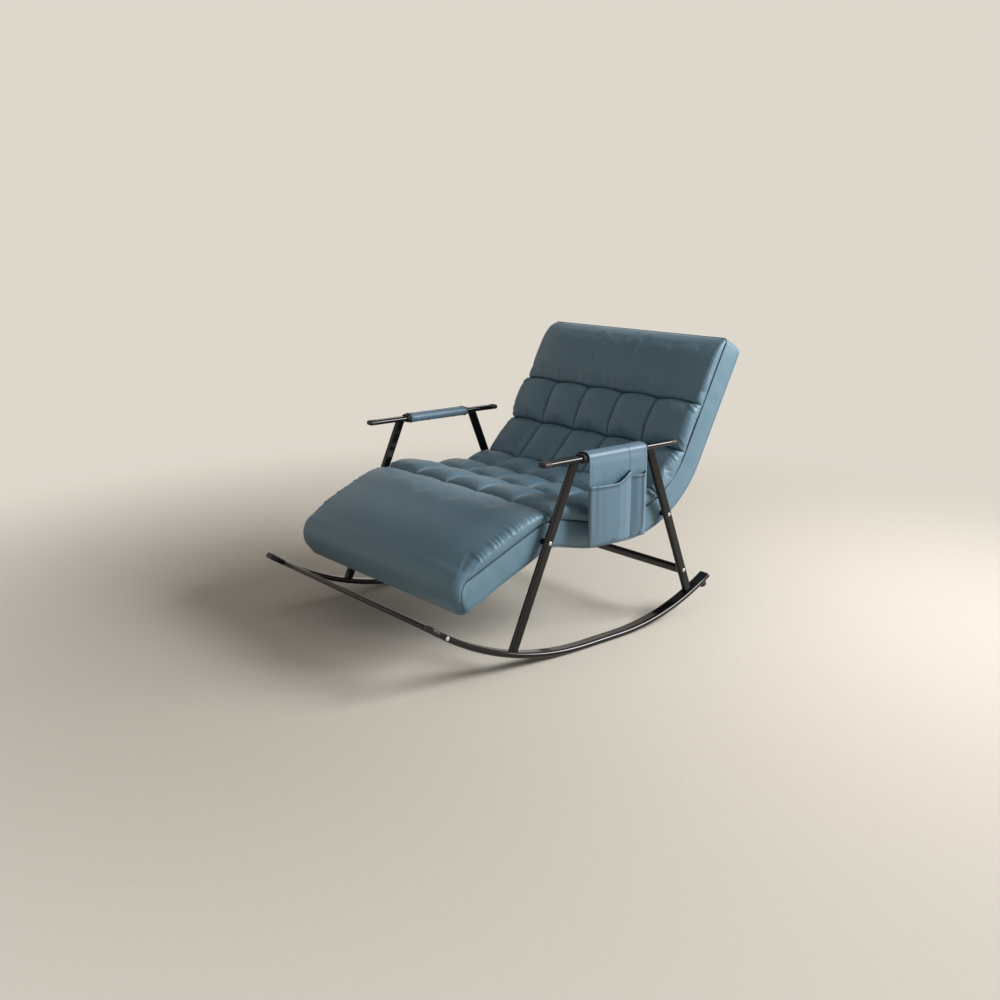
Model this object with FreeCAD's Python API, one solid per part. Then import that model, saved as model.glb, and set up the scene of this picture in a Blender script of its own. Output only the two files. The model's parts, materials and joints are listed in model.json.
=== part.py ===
"""Upholstered lounge rocking chair: one long tufted cushion bolted between two flat-oval steel side frames.

Millimetres, +Z up. The sitter faces -Y, and +X is at the sitter's left hand.
The origin is on the floor, midway between the rockers, on which the chair rests.
"""

import FreeCAD
import Part
import math
import os
from FreeCAD import Vector

# Side frames: flat-oval tube, the rockers lying flat and the legs on edge.
# A rocker is level for a short length, on which the empty chair rests, and bends up to both ends
SIDE_X = 380.0
TUBE_WALL = 2.0
ROCKER_LEVEL_FRONT_Y = -45.0
ROCKER_LEVEL_REAR_Y = 76.0
ROCKER_FRONT_RADIUS = 860.0
ROCKER_REAR_RADIUS = 750.0
ROCKER_WIDTH = 36.0
ROCKER_HEIGHT = 16.0
ROCKER_FRONT_Y = -529.0
ROCKER_REAR_Y = 434.0
LEG_WIDTH = 28.0
LEG_THICKNESS = 14.0
FRONT_LEG_FOOT_Y = -293.0
FRONT_LEG_TOP_Y = -87.0
REAR_LEG_FOOT_Y = 363.0
REAR_LEG_TOP_Y = 182.0
ARM_Z = 511.0
ARM_WIDTH = 28.0
ARM_HEIGHT = 14.0
ARM_FRONT_Y = -178.0
ARM_REAR_Y = 258.0

# Moulded caps, plugs and rubber stops
CAP_LENGTH = 24.0
CAP_ROUNDING = 5.0
PLUG_SHANK = 20.0
PLUG_CLEARANCE = 0.1
REAR_PLUG_THICKNESS = 3.0
STOP_Y = 419.0
STOP_TOP_RADIUS = 13.0
STOP_FOOT_RADIUS = 11.0
STOP_HEIGHT = 17.0
STOP_ROUNDING = 3.7

# Crossbars and fasteners
FRONT_BAR_Y = -508.0
FRONT_BAR_DIAMETER = 14.0
REAR_BAR_Z = 136.0
BAR_THREAD_DEPTH = 20.0
INSERT_LENGTH = 20.0
BOLT_RADIUS = 3.0
BOLT_HOLE_CLEARANCE = 0.2
THREAD_CLEARANCE = 0.05
BOLT_HEAD_RADIUS = 5.25
BOLT_HEAD_HEIGHT = 3.3
BOLT_HEAD_ROUNDING = 2.4
BOLT_SOCKET_ACROSS = 4.0
BOLT_SOCKET_DEPTH = 2.0
BOLT_GRIP = 16.0
SADDLE_RADIUS = 6.5
SADDLE_THICKNESS = 1.0

# Cushion: the seam line is drawn in the side view as (Y, Z) corners, each rounded by its own radius
CUSHION_HALF_WIDTH = 352.0
LEG_FRONT = (-446.0, 237.0)
KNEE = (-150.0, 360.0)
SEAT_FRONT = (5.0, 324.0)
SEAT_REAR = (286.0, 320.0)
HEAD_TOP = (521.0, 768.0)
FRONT_ROUNDING = 35.0
KNEE_ROUNDING = 150.0
SEAT_ROUNDING = 300.0
BACK_ROUNDING = 260.0
BOXING_DEPTH = 68.0
COVER_THICKNESS = 1.5
FOAM_DEPTH = 16.0

# Quilting: columns across the width, and the height of the cover above the seam line
COLUMNS = 5
SEAM_EDGE = 3.0
PAD_SINK = 6.0
CHANNEL_VALLEY = 25.0
CHANNEL_CROWN = 31.0
ROW_VALLEY = 38.0
ROW_CROWN = 53.0
SHOULDER_INSET = 24.0
SHOULDER_HEIGHT = 46.0
EDGE_BULGE = 12.0
EDGE_BULGE_HEIGHT = 24.0
SEAT_FRONT_ROW = 160.0
SEAT_REAR_OVERLAP = 14.0
LUMBAR_ROW = 113.0
BACK_UPPER_ROW = 140.0

# Plain panels: crown height at shares of the panel's length, the leg panel from the lower edge of its front
PANEL_STEP = 25.0
LEG_CROWNS = [(0.0, 10.0), (0.09, 12.0), (0.16, 17.0), (0.24, 31.0), (0.33, 44.0), (0.62, 55.0), (0.88, 50.0),
              (1.0, CHANNEL_CROWN)]
HEAD_CROWNS = [(0.0, CHANNEL_CROWN), (0.15, 45.0), (0.5, 51.0), (0.75, 45.0), (0.92, 27.0), (1.0, 10.0)]

# Seat frame inside the cushion
RAIL_DIAMETER = 19.0
RAIL_WALL = 1.5
RAIL_X = 325.0
RAIL_FRONT_TRIM = 45.0
RAIL_HEAD_TRIM = 30.0
CROSS_TUBE_DIAMETER = 16.0
CROSS_TUBE_WALL = 1.2
CROSS_TUBE_SHARES = {"leg": 0.02, "knee": 0.27, "seat": 0.52, "back": 0.77, "head": 0.98}
SEAT_BOLT_Z = 310.0
BRACKET_THICKNESS = 5.0
BRACKET_WIDTH = 18.0
BOSS_RADIUS = 8.0
BOSS_CLEARANCE = 0.5
STRAP_WIDTH = 50.0
STRAP_THICKNESS = 1.5
STRAP_COUNT = 11

# Armrest pads and the pocket that hangs from the left one
ARM_FOAM = 4.5
ARM_FOAM_FRONT_Y = -72.0
ARM_FOAM_REAR_Y = 160.0
SLEEVE_THICKNESS = 1.5
SLEEVE_FRONT_Y = -60.0
SLEEVE_REAR_Y = 152.0
LEATHER = 2.0
POCKET_GAP = 0.5
POCKET_FRONT_Y = -60.0
POCKET_REAR_Y = 150.0
POCKET_TOP_Z = 503.0
POCKET_BOTTOM_Z = 279.0
MAIN_POCKET_REAR_Y = 85.0
MAIN_POCKET_DEPTH = 22.0
MAIN_POCKET_MOUTH_Z = 452.0
MAIN_POCKET_DIP = 12.0
SLIM_POCKET_FRONT_Y = 87.0
SLIM_POCKET_REAR_Y = 143.0
SLIM_POCKET_DEPTH = 18.0
SLIM_POCKET_MOUTH_Z = 454.0
SLIM_POCKET_DIP = 5.0

X_AXIS = Vector(1, 0, 0)
Y_AXIS = Vector(0, 1, 0)
Z_AXIS = Vector(0, 0, 1)
SIDES = {"left": 1, "right": -1}
PARTS_FOLDER = "parts"


def side_point(y, z, x=0.0):
    """A point given by its place in the side view."""
    return Vector(x, y, z)


def line(start, end):
    return Part.LineSegment(start, end).toShape()


def arc(start, middle, end):
    return Part.Arc(start, middle, end).toShape()


def cylinder_x(x_from, x_to, centre, radius):
    """Cylinder along X between two X places, about a point of the side view."""
    low = min(x_from, x_to)
    return Part.makeCylinder(radius, abs(x_to - x_from), Vector(low, centre.y, centre.z), X_AXIS)


def flat_oval(centre, across, up, width, height):
    """Closed outline with straight sides and half-round ends."""
    radius = height / 2
    half = width / 2 - radius

    def corner(a, u):
        return centre + across * a + up * u

    return Part.Wire([
        line(corner(-half, radius), corner(half, radius)),
        arc(corner(half, radius), corner(half + radius, 0), corner(half, -radius)),
        line(corner(half, -radius), corner(-half, -radius)),
        arc(corner(-half, -radius), corner(-half - radius, 0), corner(-half, radius)),
    ])


def flat_oval_face(centre, across, up, width, height, inset=0.0):
    """Face of a flat-oval section, drawn in by inset all round."""
    return Part.Face(flat_oval(centre, across, up, width - 2 * inset, height - 2 * inset))


def ring_face(centre, across, up, width, height, wall):
    """Section of a flat-oval tube."""
    outer = flat_oval_face(centre, across, up, width, height)
    return outer.cut(flat_oval_face(centre, across, up, width, height, wall))


def link_plate(start, end, width, x_from, x_to):
    """Plate with half-round ends about two points of the side view."""
    along = (end - start).normalize()
    across = X_AXIS.cross(along)
    middle = (start + end) * 0.5
    middle.x = x_from
    outline = flat_oval(middle, along, across, (end - start).Length + width, width)
    return Part.Face(outline).extrude(Vector(x_to - x_from, 0, 0))


class Spine:
    """A line of the side view with rounded corners, which runs from the leg end to the head."""

    def __init__(self, points, radii):
        self.points = [Vector(p) for p in points]
        self.radii = list(radii)
        self.edges = self._rounded()
        self.length = sum(edge.Length for edge in self.edges)

    def directions(self):
        return [(b - a).normalize() for a, b in zip(self.points, self.points[1:])]

    def _rounded(self):
        edges = []
        start = self.points[0]
        runs = self.directions()
        for corner, radius, before, after in zip(self.points[1:], self.radii, runs, runs[1:]):
            half_turn = before.getAngle(after) / 2
            reach = radius * math.tan(half_turn)
            inward = (after - before).normalize()
            entry = corner - before * reach
            leave = corner + after * reach
            middle = corner + inward * (radius / math.cos(half_turn) - radius)
            edges.append(line(start, entry))
            edges.append(arc(entry, middle, leave))
            start = leave
        edges.append(line(start, self.points[-1]))
        return edges

    def offset(self, distance):
        """The parallel line at that distance, upwards where the line runs backwards along +Y."""
        runs = self.directions()
        normals = [X_AXIS.cross(run) for run in runs]
        moved = [self.points[0] + normals[0] * distance]
        radii = []
        for corner, radius, first, second in zip(self.points[1:], self.radii, normals, normals[1:]):
            moved.append(corner + (first + second) * (distance / (1 + first.dot(second))))
            left_turn = first.cross(second).x > 0
            radii.append(radius - distance if left_turn else radius + distance)
        moved.append(self.points[-1] + normals[-1] * distance)
        return Spine(moved, radii)

    def trimmed(self, at_start, at_end):
        """The same line with its two ends drawn in."""
        runs = self.directions()
        first = self.points[0] + runs[0] * at_start
        last = self.points[-1] - runs[-1] * at_end
        return Spine([first, *self.points[1:-1], last], self.radii)

    def at(self, distance):
        """Point, tangent and upward normal at that distance along the line."""
        left = distance
        for edge in self.edges:
            if left <= edge.Length or edge is self.edges[-1]:
                place = edge.getParameterByLength(min(max(left, 0.0), edge.Length))
                tangent = edge.tangentAt(place)
                return edge.valueAt(place), tangent, X_AXIS.cross(tangent)
            left -= edge.Length

    def edge_start(self, index):
        """Distance along the line at which an edge starts."""
        return sum(edge.Length for edge in self.edges[:index])

    def nearest(self, point):
        """The point of the line closest to a point of the side view."""
        wire = Part.Wire(self.edges)
        return wire.distToShape(Part.Vertex(point))[1][0][0]


# Seam line of the cushion, and the same line carried down over the front end
SEAM_POINTS = [side_point(*p) for p in (LEG_FRONT, KNEE, SEAT_FRONT, SEAT_REAR, HEAD_TOP)]
SEAM_RADII = [KNEE_ROUNDING, SEAT_ROUNDING, BACK_ROUNDING]
SEAM = Spine(SEAM_POINTS, SEAM_RADII)


# Edges of the wrapped seam line that turn over the knee and up the back
KNEE_ARC = 3
BACK_ARC = 7


def wrapped_seam(depth):
    """Seam line that starts that far down the cushion's front end."""
    down = SEAM.at(0)[2] * -depth
    return Spine([SEAM_POINTS[0] + down, *SEAM_POINTS], [FRONT_ROUNDING, *SEAM_RADII])


def side_profile(depth, head_trim=0.0):
    """Side view of the cushion from the seam line to that depth below it."""
    top = wrapped_seam(depth).trimmed(0, head_trim)
    low = SEAM.offset(-depth).trimmed(0, head_trim)
    head_end = line(top.points[-1], low.points[-1])
    return Part.Face(Part.Wire(Part.__sortEdges__([*top.edges, head_end, *low.edges])))


def across_cushion(face, x_from, x_to):
    """A side view carried across the chair."""
    moved = face.copy()
    moved.translate(Vector(x_from, 0, 0))
    return moved.extrude(Vector(x_to - x_from, 0, 0))


# Side frames

class Bend:
    """One of a rocker's two bends, which starts at an end of its level length."""

    def __init__(self, start_y, radius):
        self.start_y = start_y
        self.radius = radius
        self.line_radius = radius - ROCKER_HEIGHT / 2

    def centre(self, x=0.0):
        return Vector(x, self.start_y, self.radius)

    def angle(self, y):
        """Angle round the bend's centre, in degrees, at that Y."""
        return math.degrees(math.asin((y - self.start_y) / self.line_radius))

    def angle_of(self, length):
        """Angle, in degrees, that a length of the middle line takes up."""
        return math.degrees(length / self.line_radius)

    def point(self, y, x=0.0):
        """Point on the middle line."""
        drop = math.sqrt(self.line_radius ** 2 - (y - self.start_y) ** 2)
        return Vector(x, y, self.radius - drop)

    def sweep(self, x, inset, angle_from, angle_to):
        """The rocker's section, drawn in by inset, swept round between two angles."""
        section = rocker_section(x, self.start_y, inset)
        section.rotate(self.centre(x), X_AXIS, angle_from)
        return section.revolve(self.centre(x), X_AXIS, angle_to - angle_from)


FRONT_BEND = Bend(ROCKER_LEVEL_FRONT_Y, ROCKER_FRONT_RADIUS)
REAR_BEND = Bend(ROCKER_LEVEL_REAR_Y, ROCKER_REAR_RADIUS)


def rocker_section(x, y, inset):
    centre = Vector(x, y, ROCKER_HEIGHT / 2)
    return flat_oval_face(centre, X_AXIS, Z_AXIS, ROCKER_WIDTH, ROCKER_HEIGHT, inset)


def rocker_form(x, inset=0.0):
    """A rocker's outer form, or its bore when drawn in by the wall."""
    front = FRONT_BEND.sweep(x, inset, FRONT_BEND.angle(ROCKER_FRONT_Y), 0.0)
    rear = REAR_BEND.sweep(x, inset, 0.0, REAR_BEND.angle(ROCKER_REAR_Y))
    level_length = ROCKER_LEVEL_REAR_Y - ROCKER_LEVEL_FRONT_Y
    level = rocker_section(x, ROCKER_LEVEL_FRONT_Y, inset).extrude(Y_AXIS * level_length)
    return front.fuse([level, rear])


def rocker(x):
    bolt_hole = cylinder_x(x - ROCKER_WIDTH, x + ROCKER_WIDTH, FRONT_BAR, BOLT_RADIUS + BOLT_HOLE_CLEARANCE)
    return rocker_form(x).cut(rocker_form(x, TUBE_WALL)).cut(bolt_hole)


def rocker_plug(x, bend, end_y, head_length, rounding):
    """Moulded plug in a rocker's end: the head stands out of the tube, the shank is inside it."""
    outward = 1 if end_y > 0 else -1
    end_angle = bend.angle(end_y)
    head = bend.sweep(x, 0.0, end_angle, end_angle + outward * bend.angle_of(head_length))
    if rounding:
        end_face = max(head.Faces, key=lambda face: outward * face.CenterOfMass.y)
        head = head.makeFillet(rounding, end_face.Edges)
    shank_start = end_angle - outward * bend.angle_of(PLUG_SHANK)
    shank = bend.sweep(x, TUBE_WALL + PLUG_CLEARANCE, shank_start, end_angle)
    return head.fuse(shank).removeSplitter()


def stop_foot(x):
    """Rubber buffer under a rocker's rear end, which limits how far the chair leans back."""
    seat = REAR_BEND.point(STOP_Y, x)
    downward = (seat - REAR_BEND.centre(x)).normalize()
    length = STOP_HEIGHT + ROCKER_HEIGHT / 2
    cone = Part.makeCone(STOP_TOP_RADIUS, STOP_FOOT_RADIUS, length, seat, downward)
    foot_edge = max(cone.Edges, key=lambda edge: edge.CenterOfMass.dot(downward))
    return cone.makeFillet(STOP_ROUNDING, [foot_edge]).cut(rocker_form(x))


def arm_section(x, y, growth=0.0):
    centre = Vector(x, y, ARM_Z)
    return flat_oval_face(centre, X_AXIS, Z_AXIS, ARM_WIDTH, ARM_HEIGHT, -growth)


def arm_length(x, y_from, y_to, growth=0.0):
    """A stretch of the armrest's outer form, grown by a wrapping's thickness."""
    return arm_section(x, y_from, growth).extrude(Y_AXIS * (y_to - y_from))


def armrest(x):
    return arm_length(x, ARM_FRONT_Y, ARM_REAR_Y).cut(arm_length(x, ARM_FRONT_Y, ARM_REAR_Y, -TUBE_WALL))


def armrest_cap(x, end_y):
    """Moulded cap with a domed head as long as it is seen, and a shank inside the tube."""
    outward = 1 if end_y > 0 else -1
    head = arm_length(x, end_y, end_y + outward * CAP_LENGTH)
    end_face = max(head.Faces, key=lambda face: outward * face.CenterOfMass.y)
    head = head.makeFillet(CAP_ROUNDING, end_face.Edges)
    shank = arm_length(x, end_y, end_y - outward * PLUG_SHANK, -TUBE_WALL - PLUG_CLEARANCE)
    return head.fuse(shank).removeSplitter()


def leg_axis(foot_y, top_y):
    """Two ends of a leg's middle line, on the rocker's and the armrest's own middle lines."""
    bend = REAR_BEND if foot_y > 0 else FRONT_BEND
    return bend.point(foot_y), side_point(top_y, ARM_Z)


def leg_point(foot_y, top_y, z):
    """Point of a leg's middle line at that height."""
    foot, top = leg_axis(foot_y, top_y)
    return foot + (top - foot) * ((z - foot.z) / (top.z - foot.z))


def leg(x, foot_y, top_y, bolt_heights):
    """Leg tube coped to the rocker below and the armrest above, drilled for its bolts."""
    foot, top = leg_axis(foot_y, top_y)
    along = (top - foot).normalize()
    across = X_AXIS.cross(along)
    foot.x = x
    section = ring_face(foot, across, X_AXIS, LEG_WIDTH, LEG_THICKNESS, TUBE_WALL)
    tube = section.extrude(along * (top - foot).Length)
    tube = tube.cut(rocker_form(x)).cut(arm_length(x, ARM_FRONT_Y, ARM_REAR_Y))
    hole_radius = BOLT_RADIUS + BOLT_HOLE_CLEARANCE
    for height in bolt_heights:
        centre = leg_point(foot_y, top_y, height)
        tube = tube.cut(cylinder_x(x - LEG_THICKNESS, x + LEG_THICKNESS, centre, hole_radius))
    return max(tube.Solids, key=lambda solid: solid.Volume)


# Bolts and crossbars

SEAT_BOLTS = [leg_point(FRONT_LEG_FOOT_Y, FRONT_LEG_TOP_Y, SEAT_BOLT_Z),
              leg_point(REAR_LEG_FOOT_Y, REAR_LEG_TOP_Y, SEAT_BOLT_Z)]
REAR_BAR = leg_point(REAR_LEG_FOOT_Y, REAR_LEG_TOP_Y, REAR_BAR_Z)
FRONT_BAR = FRONT_BEND.point(FRONT_BAR_Y)
LEG_INNER_X = SIDE_X - LEG_THICKNESS / 2
LEG_OUTER_X = SIDE_X + LEG_THICKNESS / 2


def button_bolt(side, seat_x, centre, shank_length):
    """Button-head socket bolt along X, its head outside seat_x and its shank towards the chair's middle."""
    head = cylinder_x(seat_x, seat_x + BOLT_HEAD_HEIGHT, centre, BOLT_HEAD_RADIUS)
    crown_edge = max(head.Edges, key=lambda edge: edge.CenterOfMass.x)
    head = head.makeFillet(BOLT_HEAD_ROUNDING, [crown_edge])
    socket_radius = BOLT_SOCKET_ACROSS / math.sqrt(3)
    crown_x = seat_x + BOLT_HEAD_HEIGHT
    corners = [Vector(crown_x, centre.y + socket_radius * math.cos(math.radians(60 * i)),
                      centre.z + socket_radius * math.sin(math.radians(60 * i))) for i in range(7)]
    socket = Part.Face(Part.makePolygon(corners)).extrude(X_AXIS * -BOLT_SOCKET_DEPTH)
    shank = cylinder_x(seat_x - shank_length, seat_x, centre, BOLT_RADIUS)
    bolt = head.cut(socket).fuse(shank).removeSplitter()
    return bolt if side > 0 else mirrored(bolt)


def mirrored(shape):
    """The same piece on the other side of the chair."""
    return shape.mirror(Vector(0, 0, 0), X_AXIS)


def threaded_hole(centre, x_from, x_to):
    return cylinder_x(x_from, x_to, centre, BOLT_RADIUS + THREAD_CLEARANCE)


def front_crossbar():
    """Solid round stretcher between the rockers' front ends, coped to their inner edges and tapped."""
    bar = cylinder_x(-SIDE_X, SIDE_X, FRONT_BAR, FRONT_BAR_DIAMETER / 2)
    tapped_x = SIDE_X - ROCKER_WIDTH / 2 - BAR_THREAD_DEPTH
    for side in SIDES.values():
        bar = bar.cut(rocker_form(side * SIDE_X))
        bar = bar.cut(threaded_hole(FRONT_BAR, side * tapped_x, side * SIDE_X))
    return max(bar.Solids, key=lambda solid: solid.Volume)


def saddle_washer():
    """Washer that seats a bolt's head on the rocker's round outer edge."""
    edge_x = SIDE_X + ROCKER_WIDTH / 2
    disc = cylinder_x(edge_x - ROCKER_HEIGHT / 2, edge_x + SADDLE_THICKNESS, FRONT_BAR, SADDLE_RADIUS)
    hole = cylinder_x(SIDE_X, edge_x + SADDLE_THICKNESS, FRONT_BAR, BOLT_RADIUS + BOLT_HOLE_CLEARANCE)
    return disc.cut(rocker_form(SIDE_X)).cut(hole)


def rear_bar_section(x, inset=0.0):
    foot, top = leg_axis(REAR_LEG_FOOT_Y, REAR_LEG_TOP_Y)
    along = (top - foot).normalize()
    centre = Vector(x, REAR_BAR.y, REAR_BAR.z)
    return flat_oval_face(centre, along, X_AXIS.cross(along), LEG_WIDTH, LEG_THICKNESS, inset)


def rear_crossbar():
    """Flat-oval stretcher between the rear legs, on edge along their slope."""
    whole = X_AXIS * (2 * LEG_INNER_X)
    bore = rear_bar_section(-LEG_INNER_X, TUBE_WALL).extrude(whole)
    return rear_bar_section(-LEG_INNER_X).extrude(whole).cut(bore)


def rear_insert():
    """Threaded plug pressed into the left end of the rear stretcher."""
    plug = rear_bar_section(LEG_INNER_X - INSERT_LENGTH, TUBE_WALL).extrude(X_AXIS * INSERT_LENGTH)
    return plug.cut(threaded_hole(REAR_BAR, LEG_INNER_X - INSERT_LENGTH, LEG_INNER_X))


# Seat frame inside the cushion

RAIL_TOP_DEPTH = FOAM_DEPTH + STRAP_THICKNESS
RAIL_LINE = SEAM.offset(-RAIL_TOP_DEPTH - RAIL_DIAMETER / 2).trimmed(RAIL_FRONT_TRIM, RAIL_HEAD_TRIM)
RAIL_FLANK_X = RAIL_X + RAIL_DIAMETER / 2


def rail_sweep(x, radius):
    """Round rod bent along the seat frame's line."""
    path = Part.Wire(RAIL_LINE.edges)
    path.translate(Vector(x, 0, 0))
    start, tangent, _ = RAIL_LINE.at(0)
    start.x = x
    section = Part.Wire([Part.Circle(start, tangent, radius).toShape()])
    return path.makePipeShell([section], True, False)


def seat_rail(x):
    return rail_sweep(x, RAIL_DIAMETER / 2).cut(rail_sweep(x, RAIL_DIAMETER / 2 - RAIL_WALL))


def cross_tube(share, rails):
    """Round tube between the two rails, coped to them, at a share of their length."""
    centre = RAIL_LINE.at(RAIL_LINE.length * share)[0]
    radius = CROSS_TUBE_DIAMETER / 2
    tube = cylinder_x(-RAIL_X, RAIL_X, centre, radius)
    tube = tube.cut(cylinder_x(-RAIL_X, RAIL_X, centre, radius - CROSS_TUBE_WALL))
    for rail in rails:
        tube = tube.cut(rail)
    return max(tube.Solids, key=lambda solid: solid.Volume)


def support_straps():
    """Elastic webbing stretched over the rails, at even steps from the leg end to the head."""
    top = SEAM.offset(STRAP_THICKNESS - RAIL_TOP_DEPTH)
    low = SEAM.offset(-RAIL_TOP_DEPTH)
    ends = [line(top.points[i], low.points[i]) for i in (0, -1)]
    band = Part.Face(Part.Wire(Part.__sortEdges__([*top.edges, *low.edges, *ends])))
    sheet = across_cushion(band, -RAIL_FLANK_X, RAIL_FLANK_X)
    straps = []
    for i in range(STRAP_COUNT):
        place, tangent, normal = RAIL_LINE.at(RAIL_LINE.length * (i + 0.5) / STRAP_COUNT)
        corner = place - tangent * (STRAP_WIDTH / 2) - normal * RAIL_DIAMETER - X_AXIS * RAIL_X * 2
        outline = [corner, corner + tangent * STRAP_WIDTH]
        outline += [outline[1] + normal * 3 * RAIL_DIAMETER, corner + normal * 3 * RAIL_DIAMETER, corner]
        window = Part.Face(Part.makePolygon(outline)).extrude(X_AXIS * RAIL_X * 4)
        straps += sheet.common(window).Solids
    return straps


def seat_bracket(bolt):
    """Left bracket: its plate is welded to the rail's flank and its threaded boss reaches the leg."""
    plate_x = RAIL_FLANK_X + BRACKET_THICKNESS
    plate = link_plate(RAIL_LINE.nearest(bolt), bolt, BRACKET_WIDTH, RAIL_FLANK_X, plate_x)
    boss = cylinder_x(plate_x, LEG_INNER_X, bolt, BOSS_RADIUS)
    return plate.fuse(boss).removeSplitter().cut(threaded_hole(bolt, RAIL_FLANK_X, LEG_INNER_X))


# Cushion

def foam_core():
    """Foam sheet on the straps, carried down over the front end."""
    top = wrapped_seam(BOXING_DEPTH - COVER_THICKNESS).trimmed(0, COVER_THICKNESS)
    low = top.offset(-FOAM_DEPTH)
    ends = [line(top.points[i], low.points[i]) for i in (0, -1)]
    profile = Part.Face(Part.Wire(Part.__sortEdges__([*top.edges, *low.edges, *ends])))
    return across_cushion(profile, -CUSHION_HALF_WIDTH, CUSHION_HALF_WIDTH)


def under_cover():
    """Leather below and behind the cushion, carried over the head end."""
    whole = across_cushion(side_profile(BOXING_DEPTH), -CUSHION_HALF_WIDTH, CUSHION_HALF_WIDTH)
    inside = side_profile(BOXING_DEPTH - COVER_THICKNESS, COVER_THICKNESS)
    return whole.cut(across_cushion(inside, -CUSHION_HALF_WIDTH, CUSHION_HALF_WIDTH))


def boxing():
    """Leather band down the left side of the cushion, holed for the seat brackets."""
    outer_x = CUSHION_HALF_WIDTH + COVER_THICKNESS
    band = across_cushion(side_profile(BOXING_DEPTH), CUSHION_HALF_WIDTH, outer_x)
    for bolt in SEAT_BOLTS:
        band = band.cut(cylinder_x(RAIL_X, SIDE_X, bolt, BOSS_RADIUS + BOSS_CLEARANCE))
    return band


def edge_points(crown):
    """Right-hand side of a profile: the seam, the bulge over it and the shoulder, each as (x, height)."""
    share = crown / ROW_CROWN
    seam = (CUSHION_HALF_WIDTH, SEAM_EDGE)
    bulge = (CUSHION_HALF_WIDTH + EDGE_BULGE * share, EDGE_BULGE_HEIGHT * share)
    shoulder = (CUSHION_HALF_WIDTH - SHOULDER_INSET * share, SHOULDER_HEIGHT * share)
    return seam, bulge, shoulder


def quilt_profile(valley, crown):
    """Points across a quilted row: (x, height) of each seam, and of each crown between two seams."""
    seam, bulge, shoulder = edge_points(crown)
    pitch = 2 * CUSHION_HALF_WIDTH / COLUMNS
    stitched = [CUSHION_HALF_WIDTH - i * pitch for i in range(COLUMNS - 1, 0, -1)]
    inner = [(x, valley) for x in stitched]
    seams = [(-seam[0], seam[1]), (-shoulder[0], shoulder[1]), *inner, shoulder, seam]
    crowns = [((a[0] + b[0]) / 2, crown) for a, b in zip(seams[1:], seams[2:-1])]
    return seams, [(-bulge[0], bulge[1]), *crowns, bulge]


def plain_profile(crown):
    """Points across a plain panel: a wide crown between two round edges."""
    seam, bulge, shoulder = edge_points(crown)
    seams = [(-seam[0], seam[1]), (-shoulder[0], shoulder[1]), shoulder, seam]
    return seams, [(-bulge[0], bulge[1]), (0.0, crown), bulge]


def pad_section(spine, distance, profile):
    """Closed outline of a pad, square to the spine at that distance."""
    place, _, normal = spine.at(distance)
    seams, crowns = profile

    def lift(point):
        return place + X_AXIS * point[0] + normal * point[1]

    low_left = lift((seams[0][0], -PAD_SINK))
    low_right = lift((seams[-1][0], -PAD_SINK))
    edges = [line(low_left, lift(seams[0]))]
    edges += [arc(lift(a), lift(c), lift(b)) for a, c, b in zip(seams, crowns, seams[1:])]
    edges += [line(lift(seams[-1]), low_right), line(low_right, low_left)]
    return Part.Wire(edges)


def pad(spine, stations):
    """Smooth pad through its outlines: stations are (distance along the spine, profile)."""
    return Part.makeLoft([pad_section(spine, place, profile) for place, profile in stations], True, False)


def quilt_row(spine, start, end):
    """One row of tufts between two stitched channels."""
    channel = quilt_profile(CHANNEL_VALLEY, CHANNEL_CROWN)
    tufts = quilt_profile(ROW_VALLEY, ROW_CROWN)
    return pad(spine, [(start, channel), ((start + end) / 2, tufts), (end, channel)])


def crown_at(crowns, share):
    """Crown height at a share of a panel's length, between the heights given for it."""
    for (low_share, low), (high_share, high) in zip(crowns, crowns[1:]):
        if share <= high_share:
            return low + (high - low) * (share - low_share) / (high_share - low_share)
    return crowns[-1][1]


def plain_panel(spine, start, end, crowns):
    """One plain panel, with the crown heights given at shares of its length."""
    steps = math.ceil((end - start) / PANEL_STEP)
    stations = []
    for i in range(steps + 1):
        share = i / steps
        stations.append((start + (end - start) * share, plain_profile(crown_at(crowns, share))))
    return pad(spine, stations)


def pads(core, cover):
    """Every top panel of the cushion by name, each seated on the foam."""
    spine = wrapped_seam(BOXING_DEPTH)
    knee = spine.edge_start(KNEE_ARC) + spine.edges[KNEE_ARC].Length / 2
    lumbar = spine.edge_start(BACK_ARC)
    seat_middle = knee + SEAT_FRONT_ROW
    seat_rear = lumbar + SEAT_REAR_OVERLAP
    lumbar_top = seat_rear + LUMBAR_ROW
    back_middle = lumbar + spine.edges[BACK_ARC].Length
    back_top = back_middle + BACK_UPPER_ROW
    shapes = {
        "leg_pad": plain_panel(spine, 0.0, knee, LEG_CROWNS),
        "seat_front_pad": quilt_row(spine, knee, seat_middle),
        "seat_rear_pad": quilt_row(spine, seat_middle, seat_rear),
        "lumbar_pad": quilt_row(spine, seat_rear, lumbar_top),
        "back_lower_pad": quilt_row(spine, lumbar_top, back_middle),
        "back_upper_pad": quilt_row(spine, back_middle, back_top),
        "head_pad": plain_panel(spine, back_top, spine.length, HEAD_CROWNS),
    }
    return {name: seated(shape, core, cover) for name, shape in shapes.items()}


def seated(shape, core, cover):
    """A pad cut away where the foam and the cover already are."""
    cut = shape.cut(core).cut(cover)
    return max(cut.Solids, key=lambda solid: solid.Volume)


# Armrest pads and pocket

def arm_foam(x):
    return arm_length(x, ARM_FOAM_FRONT_Y, ARM_FOAM_REAR_Y, ARM_FOAM).cut(
        arm_length(x, ARM_FOAM_FRONT_Y, ARM_FOAM_REAR_Y))


def arm_sleeve(x):
    return arm_length(x, SLEEVE_FRONT_Y, SLEEVE_REAR_Y, ARM_FOAM + SLEEVE_THICKNESS).cut(
        arm_length(x, SLEEVE_FRONT_Y, SLEEVE_REAR_Y, ARM_FOAM))


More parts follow.
